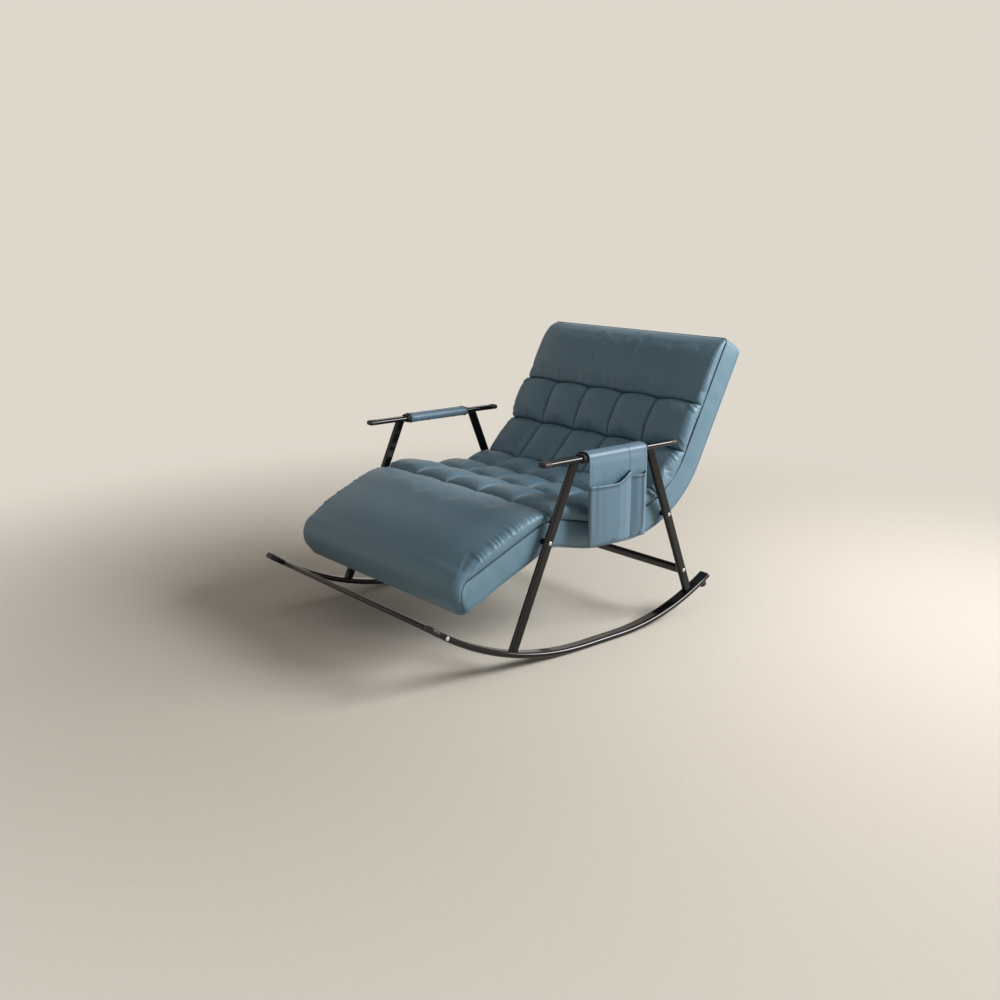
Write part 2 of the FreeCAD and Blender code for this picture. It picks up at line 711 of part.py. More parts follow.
POCKET_X = SIDE_X + ARM_WIDTH / 2 + ARM_FOAM + SLEEVE_THICKNESS + POCKET_GAP


def box(x_from, x_to, y_from, y_to, z_from, z_to):
    return Part.makeBox(x_to - x_from, y_to - y_from, z_to - z_from, Vector(x_from, y_from, z_from))


def pocket_back_panel():
    return box(POCKET_X, POCKET_X + LEATHER, POCKET_FRONT_Y, POCKET_REAR_Y, POCKET_BOTTOM_Z, POCKET_TOP_Z)


def round_fronted(block, rounding):
    """A block whose two upright outer corners are rounded."""
    outer_x = block.BoundBox.XMax
    corners = []
    for edge in block.Edges:
        upright = edge.BoundBox.ZLength > edge.BoundBox.YLength
        if upright and edge.BoundBox.XMin == outer_x:
            corners.append(edge)
    return block.makeFillet(rounding, corners)


def pocket(y_from, y_to, depth, mouth_z, dip):
    """Gusseted pocket sewn on the back panel: bottom, two sides and a front whose mouth dips."""
    x_from = POCKET_X + LEATHER
    x_to = x_from + depth
    shell = round_fronted(box(x_from, x_to, y_from, y_to, POCKET_BOTTOM_Z, mouth_z), depth / 2)
    hollow = box(x_from, x_to - LEATHER, y_from + LEATHER, y_to - LEATHER, POCKET_BOTTOM_Z + LEATHER, mouth_z)
    hollow = round_fronted(hollow, depth / 2 - LEATHER)
    gusset_x = x_from + depth / 2
    start = Vector(gusset_x, y_from, mouth_z)
    lowest = Vector(gusset_x, (y_from + y_to) / 2, mouth_z - dip)
    end = Vector(gusset_x, y_to, mouth_z)
    scoop = Part.Face(Part.Wire([arc(start, lowest, end), line(end, start)])).extrude(X_AXIS * depth)
    return shell.cut(hollow).cut(scoop)


def both_sides(shape):
    """A left-hand piece and its mirror image, as two solids of one node."""
    return [shape, mirrored(shape)]


def chair():
    """Every node of the chair: a name and its solids."""
    nodes = {}
    for name, side in SIDES.items():
        x = side * SIDE_X
        nodes[f"rocker_{name}"] = [rocker(x)]
        nodes[f"front_leg_{name}"] = [leg(x, FRONT_LEG_FOOT_Y, FRONT_LEG_TOP_Y, [SEAT_BOLT_Z])]
        nodes[f"rear_leg_{name}"] = [leg(x, REAR_LEG_FOOT_Y, REAR_LEG_TOP_Y, [SEAT_BOLT_Z, REAR_BAR_Z])]
        nodes[f"armrest_{name}"] = [armrest(x)]
        nodes[f"armrest_foam_{name}"] = [arm_foam(x)]
        nodes[f"armrest_sleeve_{name}"] = [arm_sleeve(x)]
    nodes["armrest_end_caps"] = [armrest_cap(side * SIDE_X, end)
                                 for side in SIDES.values() for end in (ARM_FRONT_Y, ARM_REAR_Y)]
    front_cap = rocker_plug(SIDE_X, FRONT_BEND, ROCKER_FRONT_Y, CAP_LENGTH, CAP_ROUNDING)
    nodes["rocker_front_caps"] = both_sides(front_cap)
    rear_plug = rocker_plug(SIDE_X, REAR_BEND, ROCKER_REAR_Y, REAR_PLUG_THICKNESS, 0.0)
    nodes["rocker_rear_plugs"] = both_sides(rear_plug)
    nodes["rocker_stop_feet"] = both_sides(stop_foot(SIDE_X))

    nodes["front_crossbar"] = [front_crossbar()]
    nodes["front_crossbar_washers"] = both_sides(saddle_washer())
    nodes["rear_crossbar"] = [rear_crossbar()]
    nodes["rear_crossbar_inserts"] = both_sides(rear_insert())
    washer_x = SIDE_X + ROCKER_WIDTH / 2 + SADDLE_THICKNESS
    nodes["front_crossbar_bolts"] = [button_bolt(side, washer_x, FRONT_BAR, ROCKER_WIDTH + BOLT_GRIP)
                                     for side in SIDES.values()]
    nodes["rear_crossbar_bolts"] = [button_bolt(side, LEG_OUTER_X, REAR_BAR, LEG_THICKNESS + BOLT_GRIP)
                                    for side in SIDES.values()]
    nodes["seat_bolts"] = [button_bolt(side, LEG_OUTER_X, bolt, LEG_THICKNESS + BOLT_GRIP)
                           for side in SIDES.values() for bolt in SEAT_BOLTS]

    rail_rods = [rail_sweep(side * RAIL_X, RAIL_DIAMETER / 2) for side in SIDES.values()]
    left_brackets = [seat_bracket(bolt) for bolt in SEAT_BOLTS]
    nodes["seat_rail_left"] = [seat_rail(RAIL_X)]
    nodes["seat_rail_right"] = [seat_rail(-RAIL_X)]
    nodes["seat_brackets_left"] = left_brackets
    nodes["seat_brackets_right"] = [mirrored(bracket) for bracket in left_brackets]
    for place, share in CROSS_TUBE_SHARES.items():
        nodes[f"{place}_cross_tube"] = [cross_tube(share, rail_rods)]
    nodes["support_straps"] = support_straps()

    core = foam_core()
    cover = under_cover()
    nodes["foam_core"] = [core]
    nodes["under_cover"] = [cover]
    nodes["boxing_left"] = [boxing()]
    nodes["boxing_right"] = [mirrored(boxing())]
    for name, shape in pads(core, cover).items():
        nodes[name] = [shape]

    nodes["pocket_back_panel"] = [pocket_back_panel()]
    nodes["pocket_main"] = [pocket(POCKET_FRONT_Y, MAIN_POCKET_REAR_Y, MAIN_POCKET_DEPTH,
                                   MAIN_POCKET_MOUTH_Z, MAIN_POCKET_DIP)]
    nodes["pocket_slim"] = [pocket(SLIM_POCKET_FRONT_Y, SLIM_POCKET_REAR_Y, SLIM_POCKET_DEPTH,
                                   SLIM_POCKET_MOUTH_Z, SLIM_POCKET_DIP)]
    return nodes


def main():
    os.makedirs(PARTS_FOLDER, exist_ok=True)
    for name, solids in chair().items():
        shape = solids[0] if len(solids) == 1 else Part.makeCompound(solids)
        assert shape.isValid() and all(solid.Volume > 0 for solid in shape.Solids), name
        shape.exportStep(os.path.join(PARTS_FOLDER, f"{name}.step"))


if __name__ == "__main__":
    main()
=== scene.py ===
"""Looks of an upholstered lounge rocking chair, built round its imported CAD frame.

Metres, +Z up. The sitter faces -Y, and +X is at the sitter's left hand, where the pocket hangs.
"""

import json
import math

import bmesh
import bpy
import numpy as np
from bpy.props import FloatProperty, FloatVectorProperty, IntProperty, PointerProperty, StringProperty
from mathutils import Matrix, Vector


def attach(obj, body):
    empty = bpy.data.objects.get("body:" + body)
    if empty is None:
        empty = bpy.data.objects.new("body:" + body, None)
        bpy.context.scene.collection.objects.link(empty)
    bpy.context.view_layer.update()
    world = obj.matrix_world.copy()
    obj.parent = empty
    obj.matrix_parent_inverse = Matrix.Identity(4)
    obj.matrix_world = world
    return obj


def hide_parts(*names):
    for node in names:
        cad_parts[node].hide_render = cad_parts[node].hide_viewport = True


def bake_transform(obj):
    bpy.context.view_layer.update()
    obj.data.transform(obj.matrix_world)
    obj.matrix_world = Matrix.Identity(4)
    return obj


bl_info = {
    "name": "Lounge rocking chair",
    "version": (1, 0, 0),
    "blender": (4, 5, 0),
    "location": "View3D > Sidebar > Rocking chair",
    "description": "Tufted cushion, arm pads, side pocket, finishes and studio for a rocking chair",
    "category": "Object",
}

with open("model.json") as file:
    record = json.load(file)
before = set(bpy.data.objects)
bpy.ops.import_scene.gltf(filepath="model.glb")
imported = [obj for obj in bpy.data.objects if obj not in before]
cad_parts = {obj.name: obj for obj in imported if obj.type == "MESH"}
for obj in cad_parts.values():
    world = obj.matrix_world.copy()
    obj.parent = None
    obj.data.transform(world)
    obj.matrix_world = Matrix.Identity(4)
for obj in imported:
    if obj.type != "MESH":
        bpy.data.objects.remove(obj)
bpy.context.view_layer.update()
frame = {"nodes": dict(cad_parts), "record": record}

# Side view of the cushion: corners of its seam line as (Y, Z), and the radius that rounds each inner one
SEAM_CORNERS = [(-0.446, 0.237), (-0.150, 0.360), (0.005, 0.324), (0.286, 0.320), (0.521, 0.768)]
SEAM_RADII = [0.150, 0.300, 0.260]
FRONT_RADIUS = 0.035
BAND_DEPTH = 0.068
LEATHER_THICKNESS = 0.0012

# Places of the knee and back among the arcs of the wrapped seam line, which has the front first
KNEE_ARC = 1
BACK_ARC = 3

# Lengths of the tufted rows along the seam line
SEAT_FRONT_ROW = 0.160
SEAT_REAR_OVERLAP = 0.014
LUMBAR_ROW = 0.113
BACK_UPPER_ROW = 0.140
PANEL_NAMES = ["leg_pad", "seat_front_pad", "seat_rear_pad", "lumbar_pad", "back_lower_pad", "back_upper_pad",
               "head_pad"]
PLAIN_PANELS = ("leg_pad", "head_pad")

# Crown height of the two plain panels, at shares of their length
LEG_CROWNS = [(0.0, 0.012), (0.05, 0.017), (0.10, 0.022), (0.16, 0.028), (0.24, 0.037), (0.33, 0.046),
              (0.62, 0.055), (0.88, 0.050), (1.0, 0.031)]
HEAD_CROWNS = [(0.0, 0.031), (0.15, 0.045), (0.5, 0.051), (0.75, 0.045), (0.90, 0.028), (0.97, 0.012),
               (1.0, 0.003)]

# Rolled edge of a panel, as shares of its crown height
EDGE_CENTRE_INSET = 0.238
EDGE_CENTRE_HEIGHT = 0.455
EDGE_RADIUS = 0.464
EDGE_START = math.radians(-59.1)
EDGE_TOP = EDGE_CENTRE_HEIGHT + EDGE_RADIUS

# Soft upright corner at the leg end, where the front turns into the side bands without a crease
CORNER_RADIUS = 0.030
CORNER_REACH = 0.008
CORNER_FROM, CORNER_FADE = 0.098, 0.045

# How far the bands lie under the edge of the panels
FRONT_LAP = 0.0015

# Roll under the lower edge of the leg end
TUCK = 0.008
TUCK_STEPS = 5

# Edge rolls of the plain panels are smaller than those of the rows, and their tops fall off by a power
PLAIN_ROLL = 0.86
PLAIN_DOME = 3.0
HEAD_ROLL = 0.70
HEAD_ROLL_FADE = 0.2
HEAD_DOME = 5.0

# Rounded corners of the head end: at its sides, and below where the cover turns up over it
HEAD_CORNER = 0.018
HEAD_CORNER_START = 0.003
HEAD_ROUND = 0.016


# Shapes

class SeamLine:
    """A line of the side view, of straight runs and arcs, measured by the distance along it."""

    STEP = 0.001
    ARC_STEP = math.radians(1.0)

    def __init__(self, corners, radii):
        corners = [np.array(corner) for corner in corners]
        path = [corners[0]]
        self.arcs = []
        for before, corner, after, radius in zip(corners, corners[1:], corners[2:], radii):
            run_in = (corner - before) / np.linalg.norm(corner - before)
            run_out = (after - corner) / np.linalg.norm(after - corner)
            turn = math.atan2(run_in[0] * run_out[1] - run_in[1] * run_out[0], run_in @ run_out)
            entry = corner - run_in * radius * math.tan(abs(turn) / 2)
            side = math.copysign(1.0, turn)
            centre = entry + side * radius * np.array([-run_in[1], run_in[0]])
            self.arcs.append((self._length([*path, entry]), radius * abs(turn)))
            steps = math.ceil(abs(turn) / self.ARC_STEP)
            for angle in np.linspace(0.0, turn, steps + 1):
                spoke = entry - centre
                turned = (spoke[0] * math.cos(angle) - spoke[1] * math.sin(angle),
                          spoke[0] * math.sin(angle) + spoke[1] * math.cos(angle))
                path.append(centre + turned)
        path.append(corners[-1])
        self.length = self._length(path)
        travelled = np.concatenate([[0.0], np.cumsum(np.linalg.norm(np.diff(path, axis=0), axis=1))])
        self.distances = np.linspace(0.0, self.length, round(self.length / self.STEP) + 1)
        columns = [np.interp(self.distances, travelled, np.array(path)[:, i]) for i in (0, 1)]
        self.places = np.stack(columns, axis=1)
        along = np.gradient(self.places, axis=0)
        along /= np.linalg.norm(along, axis=1, keepdims=True)
        self.normals = np.stack([-along[:, 1], along[:, 0]], axis=1)

    @staticmethod
    def _length(path):
        return float(np.linalg.norm(np.diff(path, axis=0), axis=1).sum())

    def lift(self, x, distance, height):
        """Points at X, at that distance along the line and that height above it."""
        x, distance, height = np.broadcast_arrays(x, distance, height)
        beyond = distance - np.clip(distance, 0.0, self.length)
        y, z, normal_y, normal_z = [np.interp(distance, self.distances, source[:, i])
                                    for source in (self.places, self.normals) for i in (0, 1)]
        y = y + normal_y * height + normal_z * beyond
        z = z + normal_z * height - normal_y * beyond
        return np.stack([x, y, z], axis=-1)


SEAM = SeamLine(SEAM_CORNERS, SEAM_RADII)
FRONT_FOOT = SEAM.lift(0.0, 0.0, -BAND_DEPTH)[1:]
WRAPPED_SEAM = SeamLine([FRONT_FOOT, *SEAM_CORNERS], [FRONT_RADIUS, *SEAM_RADII])


def row_ends():
    """Distances along the wrapped seam line at which its panels meet, from the leg end to the head."""
    knee = WRAPPED_SEAM.arcs[KNEE_ARC][0] + WRAPPED_SEAM.arcs[KNEE_ARC][1] / 2
    back_start, back_length = WRAPPED_SEAM.arcs[BACK_ARC]
    seat_rear = back_start + SEAT_REAR_OVERLAP
    back_middle = back_start + back_length
    return [0.0, knee, knee + SEAT_FRONT_ROW, seat_rear, seat_rear + LUMBAR_ROW, back_middle,
            back_middle + BACK_UPPER_ROW, WRAPPED_SEAM.length]


def head_inset(left):
    """How far the sides turn in at that distance from the head end."""
    behind = np.clip(left + HEAD_CORNER_START, 0.0, HEAD_CORNER)
    return HEAD_CORNER - np.sqrt(HEAD_CORNER ** 2 - (HEAD_CORNER - behind) ** 2)


def smooth_step(share):
    """0 up to a share of 0, 1 from a share of 1, and an even curve between them."""
    share = np.clip(share, 0.0, 1.0)
    return share * share * (3 - 2 * share)


def pillow(place, squareness=2.6, fullness=0.62):
    """Height of a stuffed cell: 1 in its middle and 0 at both seams, where place is -1 and 1."""
    return (1 - np.abs(np.clip(place, -1.0, 1.0)) ** squareness) ** fullness


def waves(distance, lengths, seed):
    """A wandering line between -1 and 1, made of a few waves of those lengths."""
    generator = np.random.default_rng(seed)
    total = np.zeros_like(distance)
    for length in lengths:
        drift = generator.uniform(0.0, 2 * math.pi, 2)
        wander = 1.3 * np.sin(distance / length + drift[1])
        total = total + np.sin(2 * math.pi * distance / length + drift[0] + wander)
    return total / len(lengths)


def finer(points):
    """A grid of points with a new one between each pair, on a smooth curve through its neighbours."""
    for axis in (0, 1):
        points = np.swapaxes(points, 0, axis)
        padded = np.concatenate([2 * points[:1] - points[1:2], points, 2 * points[-1:] - points[-2:-1]])
        between = (9 * (padded[1:-2] + padded[2:-1]) - padded[:-3] - padded[3:]) / 16
        made = np.empty((2 * len(points) - 1, *points.shape[1:]))
        made[0::2] = points
        made[1::2] = between
        points = np.swapaxes(made, 0, axis)
    return points


def grid_faces(rows, columns, first=0):
    """Faces of a grid of points stored row by row."""
    index = np.arange(rows * columns).reshape(rows, columns) + first
    corners = [index[:-1, :-1], index[:-1, 1:], index[1:, 1:], index[1:, :-1]]
    return np.stack([corner.ravel() for corner in corners], axis=1).tolist()


def made_object(name, points, faces, sharp_angle=math.radians(50)):
    """A smooth shaded mesh object, with the edges that bend past an angle left sharp."""
    mesh = bpy.data.meshes.new(name)
    mesh.from_pydata(np.asarray(points).reshape(-1, 3).tolist(), [], faces)
    mesh.validate()
    mesh.polygons.foreach_set("use_smooth", np.ones(len(mesh.polygons), dtype=bool))
    mesh.set_sharp_from_angle(angle=sharp_angle)
    piece = bpy.data.objects.new(name, mesh)
    bpy.context.scene.collection.objects.link(piece)
    return piece


def turn_outwards(piece):
    """Turn every face of a closed piece outwards."""
    shell = bmesh.new()
    shell.from_mesh(piece.data)
    bmesh.ops.recalc_face_normals(shell, faces=shell.faces)
    shell.to_mesh(piece.data)
    shell.free()


def apply_modifiers(piece):
    """Make what the piece's modifiers show its own mesh."""
    depsgraph = bpy.context.evaluated_depsgraph_get()
    shown = bpy.data.meshes.new_from_object(piece.evaluated_get(depsgraph))
    piece.modifiers.clear()
    piece.data = shown


def closed_panel(name, top, base):
    """A panel's stuffed top closed by a flat underside: two grids of points, the base's used at its rim."""
    rows, columns = top.shape[:2]
    last = rows - 1
    front = list(range(columns))
    left = list(range(columns, columns + rows - 2))
    right = list(range(columns + rows - 2, columns + 2 * (rows - 2)))
    rear = list(range(columns + 2 * (rows - 2), 2 * columns + 2 * (rows - 2)))
    rim = np.concatenate([base[0], base[1:last, 0], base[1:last, -1], base[last]])
    start = rows * columns
    left_side = [front[0], *left, rear[0]]
    right_side = [front[-1], *right, rear[-1]]
    faces = grid_faces(rows, columns)
    for j in range(last):
        faces.append([j * columns, (j + 1) * columns, start + left_side[j + 1], start + left_side[j]])
        faces.append([(j + 1) * columns - 1, start + right_side[j], start + right_side[j + 1],
                      (j + 2) * columns - 1])
        if 0 < j < last - 1:
            faces.append([start + left_side[j], start + left_side[j + 1], start + right_side[j + 1],
                          start + right_side[j]])
    for i in range(columns - 1):
        faces.append([i, start + front[i], start + front[i + 1], i + 1])
        faces.append([last * columns + i, last * columns + i + 1, start + rear[i + 1], start + rear[i]])
    faces.append([*(start + i for i in front), start + right_side[1], start + left_side[1]])
    faces.append([*(start + i for i in reversed(rear)), start + left_side[-2], start + right_side[-2]])
    piece = made_object(name, np.concatenate([top.reshape(-1, 3), rim]), faces)
    turn_outwards(piece)
    outline = np.ones((rows, columns), dtype=bool)
    outline[1:last, 1:-1] = False
    sharpen(piece, np.concatenate([outline.ravel(), np.zeros(len(rim), dtype=bool)]))
    return piece


def sharpen(piece, chosen):
    """Make the edges between chosen points sharp as well."""
    edges = piece.data.edges
    ends = np.empty(2 * len(edges), dtype=np.int32)
    sharp = np.empty(len(edges), dtype=bool)
    edges.foreach_get("vertices", ends)
    edges.foreach_get("use_edge_sharp", sharp)
    edges.foreach_set("use_edge_sharp", sharp | chosen[ends.reshape(-1, 2)].all(axis=1))


def set_attribute(piece, name, values):
    """Store one number for each point of a piece, with 0 for points beyond the given ones."""
    stored = np.zeros(len(piece.data.vertices), dtype=np.float32)
    stored[:len(values)] = values
    piece.data.attributes.new(name, "FLOAT", "POINT").data.foreach_set("value", stored)


def swollen(points, sewn, cap, settings):
    """Points of a sheet that cloth simulation has blown up between its sewn points, never past the cap."""
    rows, columns = points.shape[:2]
    sheet = made_object("swelling_sheet", points, grid_faces(rows, columns))
    pins = sheet.vertex_groups.new(name="sewn")
    pins.add(np.flatnonzero(sewn.ravel()).tolist(), 1.0, "REPLACE")
    cloth = sheet.modifiers.new("swell", "CLOTH").settings
    cloth.quality = 6
    cloth.mass = 0.3
    cloth.tension_stiffness = settings.stretch_stiffness
    cloth.compression_stiffness = settings.stretch_stiffness
    cloth.shear_stiffness = settings.stretch_stiffness / 3
    cloth.bending_stiffness = settings.bend_stiffness
    cloth.use_pressure = True
    cloth.uniform_pressure_force = settings.pressure
    cloth.shrink_min = -settings.surplus
    cloth.vertex_group_mass = pins.name
    cloth.effector_weights.gravity = 0.0
    scene = bpy.context.scene
    for number in range(1, settings.frames + 1):
        scene.frame_set(number)
    depsgraph = bpy.context.evaluated_depsgraph_get()
    shown = sheet.evaluated_get(depsgraph).data
    moved = np.empty(rows * columns * 3, dtype=np.float32)
    shown.vertices.foreach_get("co", moved)
    mesh = sheet.data
    bpy.data.objects.remove(sheet)
    bpy.data.meshes.remove(mesh)
    scene.frame_set(1)
    change = moved.reshape(points.shape).astype(float) - points
    if not np.isfinite(change).all():
        raise RuntimeError("the cloth simulation of the cushion did not settle")
    distance = np.linalg.norm(change, axis=-1, keepdims=True)
    cap = cap[..., None]
    return points + change * cap * np.tanh(distance / cap) / np.maximum(distance, 1e-9)


# Materials

def linear(colour):
    """Linear RGBA of an sRGB colour written as #rrggbb."""
    shares = [int(colour[i:i + 2], 16) / 255 for i in (1, 3, 5)]
    return (*[c / 12.92 if c <= 0.04045 else ((c + 0.055) / 1.055) ** 2.4 for c in shares], 1.0)


def node(tree, kind, inputs=None, **settings):
    """Add a node with its settings; an input is a value or another node's output."""
    made = tree.nodes.new(kind)
    for name, value in settings.items():
        setattr(made, name, value)
    for name, value in (inputs or {}).items():
        if isinstance(value, bpy.types.NodeSocket):
            tree.links.new(value, made.inputs[name])
        else:
            made.inputs[name].default_value = value
    return made


def blank_material(name):
    """An empty material and its node tree."""
    material = bpy.data.materials.new(name)
    material.use_nodes = True
    material.node_tree.nodes.clear()
    return material, material.node_tree


def finish_material(tree, shader):
    """Give a node tree its output."""
    node(tree, "ShaderNodeOutputMaterial", {"Surface": shader.outputs[0]})


def per_metre(size_mm):
    """Texture scale that repeats a pattern at that size in millimetres."""
    return 1000.0 / size_mm


# Length of one wave of Blender's wave texture at scale 1
WAVE_LENGTH = math.pi / 10


def coated_leather(name, colour, shaded):
    """Polyurethane-coated cloth, embossed with a fine pebble grain.

    The eye sees an even slate blue with a soft satin gloss; the sewn creases are darkened as painted shade,
    with a little dust.
    The grain is drawn at 2.2 mm, coarser than the real 1 mm, so that it shows.
    """
    material, tree = blank_material(name)
    place = node(tree, "ShaderNodeTexCoord").outputs["Object"]
    patches = node(tree, "ShaderNodeTexNoise", {"Vector": place, "Scale": per_metre(160), "Detail": 3.0})
    pebbles = node(tree, "ShaderNodeTexVoronoi", {"Vector": place, "Scale": per_metre(2.2)},
                   feature="SMOOTH_F1")
    creases = node(tree, "ShaderNodeTexNoise", {"Vector": place, "Scale": per_metre(22), "Detail": 4.0})
    sewn = node(tree, "ShaderNodeAttribute", attribute_name="sewn")
    even = node(tree, "ShaderNodeMix", {"Factor": patches.outputs["Fac"], "A": linear(colour),
                                        "B": linear(shaded)}, data_type="RGBA")
    # Painted shade: the sewn attribute darkens the creases towards #1c2730, standing in for the shade in the
    # seams, with a little dust
    seam_shade_share = node(tree, "ShaderNodeMath", {0: sewn.outputs["Fac"], 1: 0.6}, operation="MULTIPLY")
    painted_seam_shade = node(tree, "ShaderNodeMix", {"Factor": seam_shade_share.outputs[0], "A": even.outputs["Result"],
                                         "B": linear("#1c2730")}, data_type="RGBA")
    gloss = node(tree, "ShaderNodeMapRange", {"Value": creases.outputs["Fac"], "To Min": 0.40,
                                              "To Max": 0.54})
    rise = node(tree, "ShaderNodeMath", {0: creases.outputs["Fac"], 1: pebbles.outputs["Distance"]},
                operation="ADD")
    grain = node(tree, "ShaderNodeBump", {"Height": rise.outputs[0], "Strength": 0.16, "Distance": 0.0008})
    shader = node(tree, "ShaderNodeBsdfPrincipled",
                  {"Base Color": painted_seam_shade.outputs["Result"], "Roughness": gloss.outputs[0],
                   "Normal": grain.outputs["Normal"], "IOR": 1.48, "Sheen Weight": 0.08,
                   "Sheen Roughness": 0.4})
    finish_material(tree, shader)
    return material


def enamelled_steel(name, colour, rough):
    """Steel tube with black stoving enamel, sprayed and baked.

    The eye sees deep black with a sharp bright reflection, slightly rippled like orange peel.
    """
    material, tree = blank_material(name)
    place = node(tree, "ShaderNodeTexCoord").outputs["Object"]
    peel = node(tree, "ShaderNodeTexNoise", {"Vector": place, "Scale": per_metre(5), "Detail": 1.0})
    handling = node(tree, "ShaderNodeTexNoise", {"Vector": place, "Scale": per_metre(60), "Detail": 5.0})
    tone = node(tree, "ShaderNodeMix", {"Factor": handling.outputs["Fac"], "A": linear(colour),
                                        "B": linear("#0d0d0d")}, data_type="RGBA")
    gloss = node(tree, "ShaderNodeMapRange", {"Value": handling.outputs["Fac"], "To Min": rough - 0.05,
                                              "To Max": rough + 0.07})
    ripple = node(tree, "ShaderNodeBump", {"Height": peel.outputs["Fac"], "Strength": 0.05,
                                           "Distance": 0.0004})
    shader = node(tree, "ShaderNodeBsdfPrincipled",
                  {"Base Color": tone.outputs["Result"], "Roughness": gloss.outputs[0],
                   "Normal": ripple.outputs["Normal"], "IOR": 1.48, "Specular IOR Level": 0.12,
                   "Coat Weight": 0.5, "Coat Roughness": 0.03})
    finish_material(tree, shader)
    return material


def dull_moulding(name, colour, rough, grit_mm, bump):
    """Moulded polypropylene, rubber or foam with an even grit.

    The eye sees a matt near-black that only greys where light grazes it.
    """
    material, tree = blank_material(name)
    place = node(tree, "ShaderNodeTexCoord").outputs["Object"]
    grit = node(tree, "ShaderNodeTexNoise", {"Vector": place, "Scale": per_metre(grit_mm), "Detail": 3.0})
    dust = node(tree, "ShaderNodeTexNoise", {"Vector": place, "Scale": per_metre(35), "Detail": 4.0})
    tone = node(tree, "ShaderNodeMix", {"Factor": dust.outputs["Fac"], "A": linear(colour),
                                        "B": linear("#2b2b2c")}, data_type="RGBA")
    gloss = node(tree, "ShaderNodeMapRange", {"Value": dust.outputs["Fac"], "To Min": rough - 0.06,
                                              "To Max": rough + 0.06})
    pits = node(tree, "ShaderNodeBump", {"Height": grit.outputs["Fac"], "Strength": bump, "Distance": 0.0005})
    shader = node(tree, "ShaderNodeBsdfPrincipled",
                  {"Base Color": tone.outputs["Result"], "Roughness": gloss.outputs[0],
                   "Normal": pits.outputs["Normal"], "IOR": 1.49})
    finish_material(tree, shader)
    return material


def plated_steel(name):
    """Zinc-plated steel, as on furniture bolts.

    The eye sees a bright pale metal, slightly clouded where the plating grew unevenly.
    """
    material, tree = blank_material(name)
    place = node(tree, "ShaderNodeTexCoord").outputs["Object"]
    cloud = node(tree, "ShaderNodeTexNoise", {"Vector": place, "Scale": per_metre(4), "Detail": 3.0})
    tone = node(tree, "ShaderNodeMix", {"Factor": cloud.outputs["Fac"], "A": linear("#c9ccd0"),
                                        "B": linear("#e6e7e8")}, data_type="RGBA")
    gloss = node(tree, "ShaderNodeMapRange", {"Value": cloud.outputs["Fac"], "To Min": 0.22, "To Max": 0.38})
    shader = node(tree, "ShaderNodeBsdfPrincipled",
                  {"Base Color": tone.outputs["Result"], "Roughness": gloss.outputs[0], "Metallic": 1.0})
    finish_material(tree, shader)
    return material


def woven_cloth(name, colour, thread_mm):
    """Plain woven webbing or twisted thread.

    The eye sees a matt cloth with fine ribs, darker between its threads.
    """
    material, tree = blank_material(name)
    place = node(tree, "ShaderNodeTexCoord").outputs["Object"]
    ribs = node(tree, "ShaderNodeTexWave", {"Vector": place, "Scale": per_metre(thread_mm) * WAVE_LENGTH,
                                            "Distortion": 1.0})
    tone = node(tree, "ShaderNodeMix", {"Factor": ribs.outputs["Fac"], "A": linear(colour),
                                        "B": linear("#20262b")}, data_type="RGBA")
    weave = node(tree, "ShaderNodeBump", {"Height": ribs.outputs["Fac"], "Strength": 0.4, "Distance": 0.0003})
    shader = node(tree, "ShaderNodeBsdfPrincipled",
                  {"Base Color": tone.outputs["Result"], "Roughness": 0.85,
                   "Normal": weave.outputs["Normal"]})
    finish_material(tree, shader)
    return material


def open_foam(name):
    """Polyurethane foam, cut and not moulded.

    The eye sees a dull cream with small open cells.
    """
    material, tree = blank_material(name)
    place = node(tree, "ShaderNodeTexCoord").outputs["Object"]
    cells = node(tree, "ShaderNodeTexVoronoi", {"Vector": place, "Scale": per_metre(2.0)})
    tone = node(tree, "ShaderNodeMix", {"Factor": cells.outputs["Distance"], "A": linear("#b9ab84"),
                                        "B": linear("#efe6cd")}, data_type="RGBA")
    shader = node(tree, "ShaderNodeBsdfPrincipled", {"Base Color": tone.outputs["Result"], "Roughness": 0.95})
    finish_material(tree, shader)
    return material


def matt_floor(name, colour, other, backdrop):
    """Painted studio floor that runs up into its backdrop.

    The eye sees a pale matt ground with a faint mottle, evenly bright away from the chair.
    """
    material, tree = blank_material(name)
    place = node(tree, "ShaderNodeTexCoord").outputs["Object"]
    mottle = node(tree, "ShaderNodeTexNoise", {"Vector": place, "Scale": per_metre(12), "Detail": 2.0})
    tone = node(tree, "ShaderNodeMix", {"Factor": mottle.outputs["Fac"], "A": linear(colour),
                                        "B": linear(other)}, data_type="RGBA")
    matt = node(tree, "ShaderNodeBsdfPrincipled",
                {"Base Color": tone.outputs["Result"], "Roughness": 0.95, "Specular IOR Level": 0.1})
    reach = node(tree, "ShaderNodeVectorMath", {0: place}, operation="LENGTH")
    away = node(tree, "ShaderNodeMapRange", {"Value": reach.outputs["Value"], "From Min": 0.75,
                                             "From Max": 2.6}, interpolation_type="SMOOTHSTEP")
    light = node(tree, "ShaderNodeLightPath")
    mirrored = node(tree, "ShaderNodeMath", {0: light.outputs["Is Glossy Ray"],
                                             1: light.outputs["Is Transmission Ray"]}, operation="MAXIMUM")
    seen = node(tree, "ShaderNodeMath", {0: light.outputs["Is Camera Ray"], 1: mirrored.outputs[0]},
                operation="MAXIMUM")
    shown = node(tree, "ShaderNodeMath", {0: seen.outputs[0], 1: away.outputs[0]}, operation="MULTIPLY")
    glow = node(tree, "ShaderNodeEmission", {"Color": linear(backdrop), "Strength": 1.0})
    both = node(tree, "ShaderNodeMixShader", {0: shown.outputs[0], 1: matt.outputs[0], 2: glow.outputs[0]})
    finish_material(tree, both)
    return material


FINISHES = {}


